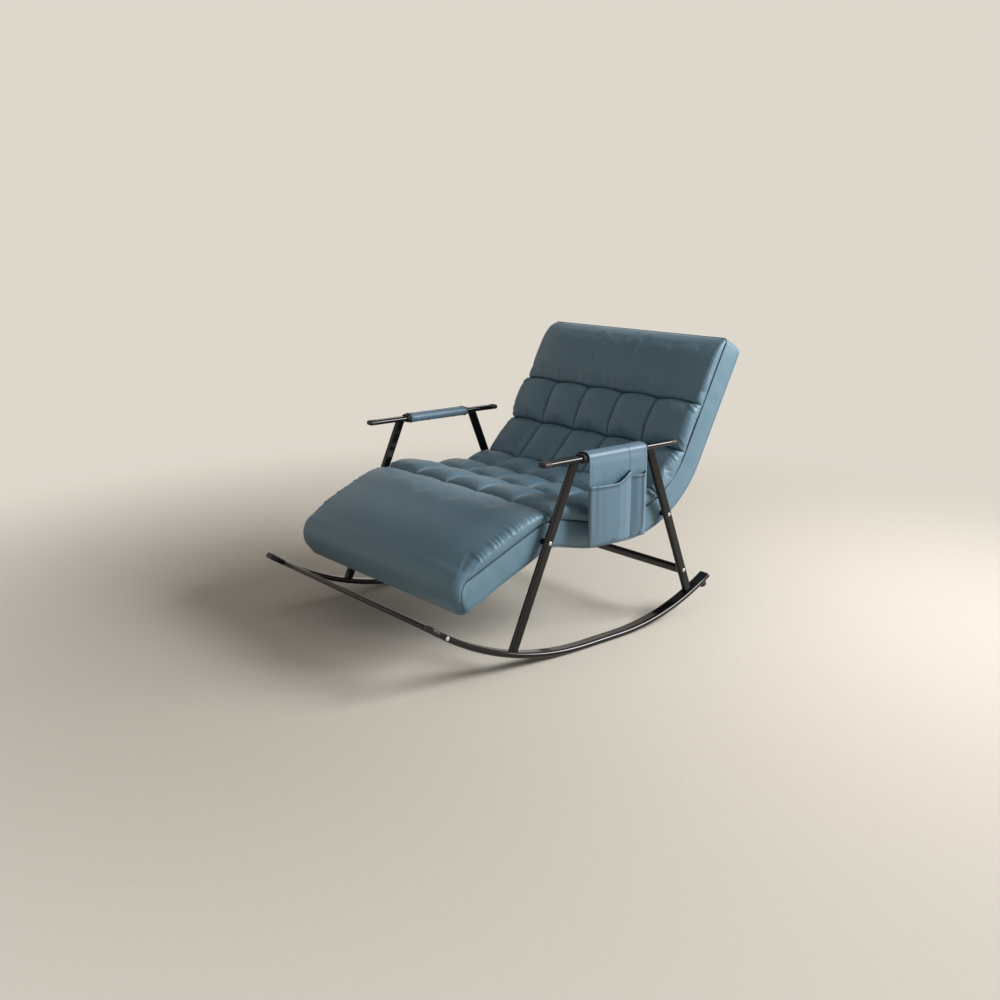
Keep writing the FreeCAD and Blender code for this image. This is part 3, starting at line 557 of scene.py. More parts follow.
def finishes():
    """Every material of the chair by name, made once."""
    if not FINISHES:
        colours = bpy.context.scene.chair_colours
        FINISHES["cover"] = coated_leather("coated_leather_cover", colours.cover, colours.cover_shade)
        FINISHES["sleeve"] = coated_leather("coated_leather_sleeve", colours.sleeve, colours.sleeve_shade)
        FINISHES["enamel"] = enamelled_steel("black_enamelled_tube", colours.enamel, rough=0.12)
        FINISHES["inner"] = enamelled_steel("black_enamelled_inner_frame", colours.enamel, rough=0.38)
        FINISHES["plastic"] = dull_moulding("moulded_black_polypropylene", "#141414", rough=0.52, grit_mm=1.5,
                                            bump=0.10)
        FINISHES["rubber"] = dull_moulding("moulded_black_rubber", "#161616", rough=0.68, grit_mm=2.0,
                                           bump=0.16)
        FINISHES["foam"] = dull_moulding("black_foam_tube", "#121213", rough=0.80, grit_mm=1.6, bump=0.50)
        FINISHES["bolt"] = plated_steel("zinc_plated_bolts")
        FINISHES["webbing"] = woven_cloth("elastic_webbing", "#2c2f31", thread_mm=2.0)
        FINISHES["thread"] = woven_cloth("sewing_thread", colours.thread, thread_mm=1.0)
        FINISHES["seat_foam"] = open_foam("cream_seat_foam")
    return FINISHES


def dress(piece, finish):
    """Give a piece one of the chair's finishes."""
    piece.data.materials.clear()
    piece.data.materials.append(finishes()[finish])


# Settings

class ChairColours(bpy.types.PropertyGroup):
    """Colours of the chair and its studio"""
    cover: StringProperty(name="Cover", description="sRGB colour of the cushion's leather", default="#5d7b8c")
    cover_shade: StringProperty(name="Cover shade", description="Darker patches of the cushion",
                                default="#557384")
    # The arm pads and pocket are of the cushion's leather; their colours are set a little darker as painted
    # shade for the pocket's bags, whose faces turn from the light
    sleeve: StringProperty(name="Sleeve", description="sRGB colour of the arm pads and pocket",
                           default="#5b7688")
    sleeve_shade: StringProperty(name="Sleeve shade", description="Darker patches of the pads",
                                 default="#547082")
    enamel: StringProperty(name="Enamel", description="sRGB colour of the tubes", default="#060606")
    thread: StringProperty(name="Thread", description="sRGB colour of the stitches", default="#3a4d59")
    floor: StringProperty(name="Floor", description="sRGB colour of the studio floor", default="#d3ccc2")
    floor_mottle: StringProperty(name="Floor mottle", description="Second tone of the floor",
                                 default="#cac3b8")
    backdrop: StringProperty(name="Backdrop", description="sRGB colour of the far backdrop",
                             default="#ded7cc")


class CushionSettings(bpy.types.PropertyGroup):
    """Sizes of the tufted cushion"""
    half_width: FloatProperty(name="Half width", description="From the middle to the side seams",
                              default=0.352, unit="LENGTH")
    columns: IntProperty(name="Columns", description="Tufts across the cushion", default=5, min=1)
    tuft_crown: FloatProperty(name="Tuft crown", description="Height of a tuft above the side seam",
                              default=0.053, unit="LENGTH")
    tuft_valley: FloatProperty(name="Tuft valley", description="Height of a seam between two columns",
                               default=0.038, unit="LENGTH")
    channel_crown: FloatProperty(name="Channel crown", description="Height of a channel between two rows",
                                 default=0.031, unit="LENGTH")
    channel_valley: FloatProperty(name="Channel valley",
                                  description="Height where a channel crosses a column seam",
                                  default=0.025, unit="LENGTH")
    scallop: FloatProperty(name="Scallop", description="How far a channel bows between two column seams",
                           default=0.006, unit="LENGTH")
    groove: FloatProperty(name="Groove", description="Depth to which the stitches pull a seam in",
                          default=0.0045, unit="LENGTH")
    groove_width: FloatProperty(name="Groove width", description="Half width of a stitched groove",
                                default=0.0032, unit="LENGTH")
    # Half width of the painted shade that darkens each seam of the cushion
    seam_width: FloatProperty(name="Seam width", description="Half width of the dark line in a seam",
                              default=0.0020, unit="LENGTH")
    pucker: FloatProperty(name="Pucker", description="Height of the gathers along the side seams",
                          default=0.0024, unit="LENGTH")
    mesh_step: FloatProperty(name="Mesh step", description="Spacing of the simulated points",
                             default=0.0056, unit="LENGTH")


class SwellSettings(bpy.types.PropertyGroup):
    """Cloth simulation that swells the cushion's cover"""
    pressure: FloatProperty(name="Pressure", description="Air pressure of the cloth simulation", default=4.0)
    surplus: FloatProperty(name="Surplus",
                           description="Share by which the cover is cut larger than its shape",
                           default=0.008)
    cap: FloatProperty(name="Cap", description="Furthest that the simulation moves a point",
                       default=0.005, unit="LENGTH")
    thin: FloatProperty(name="Thin", description="Crown height below which a panel is held still",
                        default=0.022, unit="LENGTH")
    plain_cap: FloatProperty(name="Plain cap", description="Furthest that it moves a point of a plain panel",
                             default=0.0012, unit="LENGTH")
    stretch_stiffness: FloatProperty(name="Stretch stiffness", description="Resistance to stretching",
                                     default=25.0)
    bend_stiffness: FloatProperty(name="Bend stiffness", description="Resistance to folding", default=8.0)
    frames: IntProperty(name="Frames", description="Length of the simulation", default=20, min=2)


class ArmSettings(bpy.types.PropertyGroup):
    """Sizes of the armrests' foam tubes and sleeves"""
    side: FloatProperty(name="Side", description="From the middle to an armrest", default=0.380,
                        unit="LENGTH")
    height_above_floor: FloatProperty(name="Height above floor", description="Middle of an armrest's tube",
                                      default=0.511, unit="LENGTH")
    width: FloatProperty(name="Width", description="Width of an armrest's tube", default=0.028, unit="LENGTH")
    height: FloatProperty(name="Height", description="Height of an armrest's tube", default=0.014,
                          unit="LENGTH")
    foam: FloatProperty(name="Foam", description="Thickness of the foam tube", default=0.0045, unit="LENGTH")
    foam_front: FloatProperty(name="Foam front", description="Front end of the foam", default=-0.072,
                              unit="LENGTH")
    foam_rear: FloatProperty(name="Foam rear", description="Rear end of the foam", default=0.160,
                             unit="LENGTH")
    sleeve: FloatProperty(name="Sleeve", description="Outside of the sleeve above the tube", default=0.006,
                          unit="LENGTH")
    sleeve_front: FloatProperty(name="Sleeve front", description="Front end of the sleeve", default=-0.060,
                                unit="LENGTH")
    sleeve_rear: FloatProperty(name="Sleeve rear", description="Rear end of the sleeve", default=0.152,
                               unit="LENGTH")
    hem: FloatProperty(name="Hem", description="Width of the turned-in edge", default=0.008, unit="LENGTH")


class PocketSettings(bpy.types.PropertyGroup):
    """Sizes of the side pocket and its stitches"""
    panel_x: FloatProperty(name="Panel side", description="Inner face of the hanging panel", default=0.4005,
                           unit="LENGTH")
    leather: FloatProperty(name="Leather", description="Thickness of the pocket's leather", default=0.002,
                           unit="LENGTH")
    front: FloatProperty(name="Front", description="Front edge of the panel", default=-0.060, unit="LENGTH")
    rear: FloatProperty(name="Rear", description="Rear edge of the panel", default=0.150, unit="LENGTH")
    bottom: FloatProperty(name="Bottom", description="Lower edge of the pocket", default=0.279, unit="LENGTH")
    main_rear: FloatProperty(name="Main rear", description="Rear of the large bag", default=0.085,
                             unit="LENGTH")
    main_depth: FloatProperty(name="Main depth", description="How far the large bag stands out",
                              default=0.022, unit="LENGTH")
    main_mouth: FloatProperty(name="Main mouth", description="Height of the large bag's mouth", default=0.440,
                              unit="LENGTH")
    main_rise: FloatProperty(name="Main rise", description="Rise of the mouth to its rear", default=0.024,
                             unit="LENGTH")
    slim_front: FloatProperty(name="Slim front", description="Front of the slim bag", default=0.087,
                              unit="LENGTH")
    slim_rear: FloatProperty(name="Slim rear", description="Rear of the slim bag", default=0.143,
                             unit="LENGTH")
    slim_depth: FloatProperty(name="Slim depth", description="How far the slim bag stands out", default=0.018,
                              unit="LENGTH")
    slim_mouth: FloatProperty(name="Slim mouth", description="Height of the slim bag's mouth", default=0.450,
                              unit="LENGTH")
    slim_rise: FloatProperty(name="Slim rise", description="Rise of the mouth to its rear", default=0.004,
                             unit="LENGTH")
    stitch: FloatProperty(name="Stitch", description="Length of one stitch", default=0.0042, unit="LENGTH")
    gap: FloatProperty(name="Gap", description="Space between two stitches", default=0.0016, unit="LENGTH")
    thread: FloatProperty(name="Thread", description="Radius of the sewing thread", default=0.0006,
                          unit="LENGTH")


class StageSettings(bpy.types.PropertyGroup):
    """Camera that took the photograph"""
    camera_place: FloatVectorProperty(name="Camera place", description="Where the camera stands",
                                      default=(2.3300, -1.9592, 1.0881), subtype="XYZ", unit="LENGTH")
    azimuth: FloatProperty(name="Azimuth", description="Side from which the camera looks",
                           default=math.radians(50.159), subtype="ANGLE")
    elevation: FloatProperty(name="Elevation", description="How steeply the camera looks down",
                             default=math.radians(14.188), subtype="ANGLE")
    lens: FloatProperty(name="Lens", description="Focal length in millimetres on a 36 mm sensor",
                        default=39.69)


# Cushion

def crown_height(crowns, share):
    """Crown of a plain panel at shares of its length, smooth between the given heights."""
    shares, heights = np.array(crowns).T
    slopes = np.gradient(heights, shares)
    index = np.clip(np.searchsorted(shares, share) - 1, 0, len(shares) - 2)
    span = shares[index + 1] - shares[index]
    t = (share - shares[index]) / span
    return ((1 + 2 * t) * (1 - t) ** 2 * heights[index] + t * (1 - t) ** 2 * span * slopes[index]
            + t * t * (3 - 2 * t) * heights[index + 1] + t * t * (t - 1) * span * slopes[index + 1])


class CushionGrid:
    """Where each point of the cushion's cover lies: along the chair by row, and across it by tuft."""

    EDGE_LENGTH = 0.064
    EDGE_INSET = 0.013
    LEAST_STEPS = 8
    ROW_SQUARENESS, ROW_FULLNESS = 2.2, 0.7
    CORNER_CLEARANCE = 0.0006
    SCALLOP_END = 0.97

    # A little over 1, so that a root at the very end of the tuck stays real
    TUCK_GUARD = 1.0001

    def __init__(self, settings):
        self.settings = settings
        step = settings.mesh_step
        width = 2 * settings.half_width / settings.columns
        self.edge_count = round(self.EDGE_LENGTH / step)
        self.cell_count = 2 * round(width / step / 2)
        self.outer_count = 2 * round((width - self.EDGE_INSET) / step / 2)
        parts = [("edge", -1, self.edge_count), ("outer", -1, self.outer_count)]
        parts += [("cell", i, self.cell_count) for i in range(1, settings.columns - 1)]
        parts += [("outer", 1, self.outer_count), ("edge", 1, self.edge_count)]
        self.parts = parts

    def across(self, fineness=1):
        """(part, side or column, share) of each point across the cushion."""
        places = []
        for kind, side, count in self.parts:
            total = count * fineness
            first = 0 if not places else 1
            places += [(kind, side, i / total) for i in range(first, total + 1)]
        return places

    def row(self, number, fineness=1):
        """Distances and heights of one panel as two grids, with X, the tuft place and the row place."""
        s = self.settings
        ends = row_ends()
        name = PANEL_NAMES[number]
        start, end = ends[number], ends[number + 1]
        count = max(self.LEAST_STEPS, round((end - start) / s.mesh_step)) * fineness
        along = np.linspace(start, end, count + 1)[:, None]
        if number == 0:
            tuck = np.linspace(0.0, math.pi / 2, TUCK_STEPS * fineness + 1)[:-1, None]
            along = np.concatenate([-TUCK * np.cos(tuck), along])
        share = np.clip((along - start) / (end - start), 0.0, 1.0)
        places = self.across(fineness)
        plain = name in PLAIN_PANELS
        if plain:
            crown = crown_height(LEG_CROWNS if name == "leg_pad" else HEAD_CROWNS, share)
            crown = crown * np.sqrt(self.TUCK_GUARD - (np.minimum(along, 0.0) / TUCK) ** 2)
            rise = np.ones_like(share)
        else:
            rise = pillow(2 * share - 1, self.ROW_SQUARENESS, self.ROW_FULLNESS)
            crown = s.channel_crown + (s.tuft_crown - s.channel_crown) * rise
        valley = s.channel_valley + (s.tuft_valley - s.channel_valley) * rise
        column_width = 2 * s.half_width / s.columns
        x = np.zeros((len(along), len(places)))
        height = np.zeros_like(x)
        tuft = np.zeros_like(x)
        turned = smooth_step((CORNER_FROM - along[:, 0]) / CORNER_FADE)
        corner_x = s.half_width + CORNER_REACH - CORNER_RADIUS
        corner_end = np.arcsin(np.clip(1 - crown[:, 0] / CORNER_RADIUS, 0.0, 1.0))
        roll = crown[:, 0] * (PLAIN_ROLL if plain else 1.0)
        dome = PLAIN_DOME
        if name == "head_pad":
            roll = crown[:, 0] * (1 - (1 - HEAD_ROLL) * smooth_step(share[:, 0] / HEAD_ROLL_FADE))
            dome = HEAD_DOME
        edge_x = (1 - turned) * (s.half_width - EDGE_CENTRE_INSET * roll) + turned * corner_x
        edge_top = (1 - turned) * EDGE_TOP * roll + turned * crown[:, 0]
        outer_x = s.half_width - column_width
        for i, (kind, side, across) in enumerate(places):
            inner = across if side > 0 else 1 - across
            if kind == "edge":
                angle = math.pi / 2 + (EDGE_START - math.pi / 2) * inner
                bend = math.pi / 2 + (corner_end - math.pi / 2) * inner
                roll_x = s.half_width + roll * (EDGE_RADIUS * math.cos(angle) - EDGE_CENTRE_INSET)
                roll_height = roll * (EDGE_CENTRE_HEIGHT + EDGE_RADIUS * math.sin(angle))
                soft_x = corner_x + CORNER_RADIUS * np.cos(bend)
                soft_height = np.maximum(crown[:, 0] - CORNER_RADIUS * (1 - np.sin(bend)),
                                         self.CORNER_CLEARANCE)
                x[:, i] = side * ((1 - turned) * roll_x + turned * soft_x)
                height[:, i] = (1 - turned) * roll_height + turned * soft_height
                tuft[:, i] = 0.0
            elif kind == "outer":
                x[:, i] = side * (outer_x + (edge_x - outer_x) * inner)
                falling = crown[:, 0] - (crown[:, 0] - edge_top) * smooth_step(2 * inner - 1)
                rising = valley[:, 0] + (crown[:, 0] - valley[:, 0]) * pillow(2 * inner - 1)
                height[:, i] = falling if inner > 0.5 else rising
                tuft[:, i] = 2 * inner - 1 if inner < 0.5 else 0.0
            else:
                place = 2 * across - 1
                x[:, i] = -s.half_width + column_width * (side + across)
                height[:, i] = valley[:, 0] + (crown[:, 0] - valley[:, 0]) * pillow(place)
                tuft[:, i] = place
        if plain:
            top = np.abs(x) <= edge_x[:, None]
            bow = edge_top[:, None] + (crown - edge_top[:, None]) * (1 - np.abs(x / edge_x[:, None]) ** dome)
            height = np.where(top, bow, height)
        fade_start = 0.0 if number == 0 else 1.0
        fade_end = 0.0 if number == len(PANEL_NAMES) - 1 else 1.0
        bend = (fade_start * (1 - share) ** 3 + fade_end * share ** 3) * self.scallops(x)
        distance = along + bend
        x = x * (1 - head_inset(WRAPPED_SEAM.length - distance) / s.half_width)
        return {"x": x, "height": height, "distance": distance, "share": share, "tuft": tuft, "crown": crown,
                "length": end - start, "plain": plain, "name": name, "number": number}

    def scallops(self, x):
        """How far a channel bows towards the head at X: least at the column seams."""
        s = self.settings
        place = (x + s.half_width) / (2 * s.half_width / s.columns) % 1.0
        return s.scallop * (1 - (2 * place - 1) ** 2 - 0.5) * (np.abs(x) < s.half_width * self.SCALLOP_END)


class CHAIR_OT_cushion(bpy.types.Operator):
    """Blow up the cover between its seams and make the seven stuffed panels"""
    bl_idname = "chair.cushion"
    bl_label = "Tufted cushion"

    SEWN_TUFT = 0.999
    SIDE_FADE = 0.02
    COLUMN_GROOVE = 0.8
    BASE_HEIGHT = 0.0003

    # Lean, spacing and strength of the gathers on the plain panels and in the rows
    PLAIN_GATHERS = 0.15, 0.0165, 1.5
    ROW_GATHERS = 0.55, 0.0150, 2.6
    GATHER_REACH, GATHER_START = 0.036, 0.012
    LEG_GATHER_FROM, LEG_GATHER_FADE = 0.25, 0.15
    HEAD_GATHER_SHARE = 0.2
    CHANNEL_REACH = 0.032
    DRIFT_WAVES = [0.071, 0.043]
    UNEVEN_WAVES = [0.053, 0.029]

    def execute(self, context):
        settings = context.scene.chair_cushion
        grid = CushionGrid(settings)
        rows = [grid.row(i) for i in range(len(PANEL_NAMES))]
        sheets = [WRAPPED_SEAM.lift(row["x"], row["distance"], row["height"]) for row in rows]
        sheets = self.simulated(rows, sheets, context.scene.chair_swell)
        for i, sheet in enumerate(sheets):
            self.panel(settings, grid.row(i, 2), finer(sheet))
        return {"FINISHED"}

    def simulated(self, rows, sheets, swell):
        """The panels swollen as one cover, held along its channels, column seams, edges and tuck."""
        tucked = sheets[0][:TUCK_STEPS]
        sheets = [sheets[0][TUCK_STEPS:], *sheets[1:]]
        cover = np.concatenate([sheets[0], *[sheet[1:] for sheet in sheets[1:]]])
        sewn = np.zeros(cover.shape[:2], dtype=bool)
        sewn[:, [0, -1]] = True
        starts = np.cumsum([0] + [len(sheet) - 1 for sheet in sheets])
        sewn[starts] = True
        cap = np.full(cover.shape[:2], swell.plain_cap)
        for row, start, end in zip(rows, starts, starts[1:]):
            if row["plain"]:
                sewn[start:end + 1] |= row["crown"][start - end - 1:] < swell.thin
            else:
                sewn[start:end + 1] |= np.abs(row["tuft"]) > self.SEWN_TUFT
                cap[start:end + 1] = swell.cap
        cover = swollen(cover, sewn, cap, swell)
        panels = [cover[start:end + 1] for start, end in zip(starts, starts[1:])]
        return [np.concatenate([tucked, panels[0]]), *panels[1:]]

    def panel(self, settings, row, top):
        """One panel: grooves and gathers pressed into its swollen top, and its underside closed."""
        x, share, length = row["x"], row["share"], row["length"]
        distance = row["distance"]
        up = WRAPPED_SEAM.lift(0.0, distance, 1.0) - WRAPPED_SEAM.lift(0.0, distance, 0.0)
        column_width = 2 * settings.half_width / settings.columns
        far = np.full_like(share, 1.0)
        to_start = share * length if row["number"] > 0 else far
        to_end = (1 - share) * length if row["number"] < len(PANEL_NAMES) - 1 else far
        to_row = np.broadcast_to(np.minimum(to_start, to_end), x.shape)
        to_column = np.full_like(x, 1.0)
        if not row["plain"]:
            stitched = [-settings.half_width + column_width * i for i in range(1, settings.columns)]
            to_column = np.min([np.abs(x - place) for place in stitched], axis=0)
        to_side = np.cumsum(np.linalg.norm(np.diff(top, axis=1, prepend=top[:, :1]), axis=-1), axis=1)
        to_side = np.minimum(to_side, to_side[:, -1:] - to_side)
        inside = smooth_step(to_side / self.SIDE_FADE)
        sunk = settings.groove * np.exp(-(to_row / settings.groove_width) ** 2) * inside
        shallow = self.COLUMN_GROOVE * settings.groove
        sunk = np.maximum(sunk, shallow * np.exp(-(to_column / settings.groove_width) ** 2) * inside)
        top = top + up * (self.gathers(settings, row, to_side, to_row) - sunk)[..., None]
        base_x = np.clip(x, -settings.half_width - CORNER_REACH, settings.half_width + CORNER_REACH)
        base = WRAPPED_SEAM.lift(base_x, distance, self.BASE_HEIGHT)
        piece = closed_panel(row["name"] + "_cover", top, base)
        # Painted shade: the sewn attribute darkens a thin line along the channels, the column seams and the
        # sides, fading out at the soft front corner
        soft_corner = smooth_step((CORNER_FROM - distance) / CORNER_FADE)
        sewn = np.maximum(np.exp(-(np.minimum(to_row, to_column) / settings.seam_width) ** 2),
                          np.exp(-(to_side / settings.seam_width) ** 2) * (1 - soft_corner))
        set_attribute(piece, "sewn", sewn.ravel())
        dress(piece, "cover")
        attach(piece, "chair")
        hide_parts(row["name"])

    def gathers(self, settings, row, to_side, to_row):
        """Short folds that fan from the side seams: close on the leg panel, strong in the rows."""
        distance = row["distance"]
        if row["plain"]:
            lean, spacing, strength = self.PLAIN_GATHERS
            fade = smooth_step((row["share"] - self.LEG_GATHER_FROM) / self.LEG_GATHER_FADE)
            strength = strength * (fade if row["number"] == 0 else self.HEAD_GATHER_SHARE)
        else:
            lean, spacing, strength = self.ROW_GATHERS
            strength = strength * (0.2 + 0.8 * np.exp(-(to_row / self.CHANNEL_REACH) ** 2))
        reach = self.GATHER_REACH
        line = distance - lean * to_side
        drift = 0.35 * spacing * waves(line, self.DRIFT_WAVES, 11)
        ridge = np.abs(np.cos(math.pi * (line + drift) / spacing)) ** 4
        uneven = 0.55 + 0.45 * waves(np.round((line + drift) / spacing) * spacing, self.UNEVEN_WAVES, 7)
        along = np.exp(-((to_side - reach) / (0.6 * reach)) ** 2) * smooth_step(to_side / self.GATHER_START)
        return settings.pucker * strength * uneven * along * (ridge - 0.35)


class CHAIR_OT_foam_slab(bpy.types.Operator):
    """Lay the foam slab on the straps, under the stuffed panels"""
    bl_idname = "chair.foam_slab"
    bl_label = "Foam slab"

    DEPTH = 0.016
    INSET = 0.012
    CLEARANCE = 0.001
    LEG_END = 0.02
    ROUNDING = 0.003
    EDGE_SQUARENESS, EDGE_FULLNESS = 24.0, 0.5
    STEPS_ALONG, STEPS_ACROSS = 240, 41

    def execute(self, context):
        half = context.scene.chair_cushion.half_width - self.INSET
        along = np.linspace(self.LEG_END, WRAPPED_SEAM.length - self.INSET, self.STEPS_ALONG)[:, None]
        x = np.linspace(-half, half, self.STEPS_ACROSS)[None, :]
        rounded = self.ROUNDING * (1 - pillow(x / half, self.EDGE_SQUARENESS, self.EDGE_FULLNESS))
        top = WRAPPED_SEAM.lift(x, along, -self.CLEARANCE - rounded)
        base = WRAPPED_SEAM.lift(x, along, self.CLEARANCE - self.DEPTH)
        slab = closed_panel("foam_core_slab", top, base)
        dress(slab, "seat_foam")
        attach(slab, "chair")
        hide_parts("foam_core")
        return {"FINISHED"}


class CHAIR_OT_side_bands(bpy.types.Operator):
    """Sew the leather bands down both sides of the cushion"""
    bl_idname = "chair.side_bands"
    bl_label = "Side bands"

    STEP = 0.005
    ROUND_STEPS, STEPS_DOWN = 9, 29
    HEAD_FADE = 0.05
    STAND_OUT, BULGE, BULGE_FULLNESS = 0.0015, 0.0045, 0.7
    RIPPLE = 0.0006
    RIPPLE_WAVES = [0.052, 0.083]

    # How far the soft front corner runs back along the band's foot, and where it fades out
    FOOT_REACH, FOOT_FADE, SEAM_FADE = 0.13, 0.10, 0.035
    LAP_INSET = 0.0007

    # The two sewn lines: one above the foot, and one along the top as far as the front corner
    FOOT_SEAM, FOOT_SEAM_WIDTH, FOOT_SEAM_DEPTH = 0.006, 0.0016, 0.0018
    FOOT_SEAM_FROM, FOOT_SEAM_FADE = 0.01, 0.02
    TOP_SEAM_WIDTH, TOP_SEAM_FADE = 0.0022, 0.02

    def steps_along(self):
        """Distances along the seam line, from under the leg panel's edge to the rounded head end."""
        straight = np.linspace(0.0, SEAM.length - HEAD_ROUND, round(SEAM.length / self.STEP) + 1)
        into_round = HEAD_ROUND * np.sin(np.linspace(0.0, math.pi / 2, self.ROUND_STEPS))
        return np.concatenate([[-FRONT_LAP], straight, SEAM.length - HEAD_ROUND + into_round[1:]])[:, None]

    def execute(self, context):
        half_width = context.scene.chair_cushion.half_width
        along = self.steps_along()
        into_round = np.clip(along - SEAM.length + HEAD_ROUND, 0.0, HEAD_ROUND)
        foot_depth = BAND_DEPTH - HEAD_ROUND + np.sqrt(HEAD_ROUND ** 2 - into_round ** 2)
        into_corner = np.clip(FRONT_RADIUS - along, 0.0, None)
        within_corner = np.minimum(into_corner, FRONT_RADIUS)
        from_head = smooth_step((SEAM.length - along) / self.HEAD_FADE)
        top_depth = FRONT_RADIUS - np.sqrt(FRONT_RADIUS ** 2 - within_corner ** 2) - FRONT_LAP * from_head
        share = np.linspace(0.0, 1.0, self.STEPS_DOWN)[None, :]
        depth = top_depth + (foot_depth - top_depth) * share
        bulge = self.BULGE * np.sin(math.pi * share) ** self.BULGE_FULLNESS * from_head
        ripple = self.RIPPLE * waves(along, self.RIPPLE_WAVES, 8) * np.sin(math.pi * share)

        # The front corner follows the leg panel's soft corner, and the rest stands out by its bulge
        over_corner = np.clip(FRONT_RADIUS - depth, 0.0, FRONT_RADIUS)
        from_front = np.where(into_corner > 0, FRONT_RADIUS - np.hypot(into_corner, over_corner), 1.0)
        front_rise = BAND_DEPTH - FRONT_RADIUS
        seam_place = front_rise + FRONT_RADIUS * np.arccos(within_corner / FRONT_RADIUS)
        seam_place = seam_place + np.clip(along - FRONT_RADIUS, 0.0, None)
        at_seam = smooth_step((CORNER_FROM - seam_place) / CORNER_FADE)
        below_seam = smooth_step((self.FOOT_REACH - along) / self.FOOT_FADE)
        below_seam = below_seam * smooth_step((depth - top_depth) / self.SEAM_FADE)
        facing_front = np.maximum(at_seam, below_seam)
        around = np.arctan2(over_corner, np.maximum(into_corner, 1e-6))
        front_place = np.clip(BAND_DEPTH - depth, 0.0, front_rise) + FRONT_RADIUS * around
        front_crown = crown_height(LEG_CROWNS, front_place / row_ends()[1])
        behind = np.clip(from_front + front_crown, 0.0, CORNER_RADIUS)
        turned_in = CORNER_RADIUS - np.sqrt(CORNER_RADIUS ** 2 - (CORNER_RADIUS - behind) ** 2)
        outside = CORNER_REACH * facing_front + (self.STAND_OUT + bulge) * (1 - facing_front)
        outside = outside - self.LAP_INSET * smooth_step(-from_front / FRONT_LAP)

        foot_seam = np.exp(-((foot_depth - self.FOOT_SEAM - depth) / self.FOOT_SEAM_WIDTH) ** 2)
        top_seam = np.exp(-((depth - top_depth) / self.TOP_SEAM_WIDTH) ** 2)
        top_seam = top_seam * (1 - smooth_step(into_corner / self.TOP_SEAM_FADE))
        from_corner = smooth_step((along - self.FOOT_SEAM_FROM) / self.FOOT_SEAM_FADE)
        # Painted shade: the sewn attribute darkens the band along its top seam and the seam above its foot
        sewn = np.maximum(top_seam, foot_seam * from_corner)
        for name, side in (("left", 1), ("right", -1)):
            x = side * (half_width + outside + ripple - turned_in * facing_front
                        - self.FOOT_SEAM_DEPTH * foot_seam - head_inset(SEAM.length - along))
            points = SEAM.lift(x, along, -depth)
            if side > 0:
                points = points[:, ::-1]
            piece = made_object(f"boxing_{name}_band", points, grid_faces(*points.shape[:2]))
            set_attribute(piece, "sewn", (sewn[:, ::-1] if side > 0 else sewn).ravel())
            thickened(piece, LEATHER_THICKNESS)
            dress(piece, "cover")
            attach(piece, "chair")
            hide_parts(f"boxing_{name}")
        return {"FINISHED"}


class CHAIR_OT_under_cover(bpy.types.Operator):
    """Stretch the leather under the cushion and over its head end"""
    bl_idname = "chair.under_cover"
    bl_label = "Under cover"

    STEP = 0.010
    TURN_STEPS, RISE_STEPS, STEPS_ACROSS = 9, 8, 61
    STAND_OFF = 0.0012
    TOP_LAP = 0.003
    SIDE_LAP = 0.0022

    # Sag between the sides, which fades out at the head end and the leg end
    SLACK = 0.004
    SLACK_FROM, SLACK_FADE, LEG_FADE = 0.02, 0.04, 0.03
    SLACK_WAVES = [0.31, 0.19]

    def execute(self, context):
        half_width = context.scene.chair_cushion.half_width
        head_end = SEAM.length + self.STAND_OFF
        straight = np.linspace(0.0, head_end - HEAD_ROUND, round(SEAM.length / self.STEP) + 1)
        turn = np.linspace(0.0, math.pi / 2, self.TURN_STEPS)[1:]
        rise = np.linspace(-BAND_DEPTH + HEAD_ROUND, self.TOP_LAP, self.RISE_STEPS)[1:]
        turned_along = head_end - HEAD_ROUND + HEAD_ROUND * np.sin(turn)
        turned_up = -BAND_DEPTH + HEAD_ROUND * (1 - np.cos(turn))
        distance = np.concatenate([straight, turned_along, np.full_like(rise, head_end)])[:, None]
        height = np.concatenate([np.full_like(straight, -BAND_DEPTH), turned_up, rise])[:, None]
        share = np.linspace(-1.0, 1.0, self.STEPS_ACROSS)[None, :]
        slack = self.SLACK * (1 - share ** 4) * smooth_step((-height - self.SLACK_FROM) / self.SLACK_FADE)
        slack = slack * smooth_step(distance / self.LEG_FADE)
        slack = slack * (0.7 + 0.3 * waves(distance, self.SLACK_WAVES, 3))
        inset = head_inset(np.maximum(SEAM.length - distance, 0.0))
        points = SEAM.lift(share * (half_width + self.SIDE_LAP - inset), distance, height - slack)
        piece = made_object("under_cover_sheet", points, grid_faces(*points.shape[:2]))
        thickened(piece, -LEATHER_THICKNESS)
        dress(piece, "cover")
        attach(piece, "chair")
        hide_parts("under_cover")
        return {"FINISHED"}


# Arm pads and side pocket

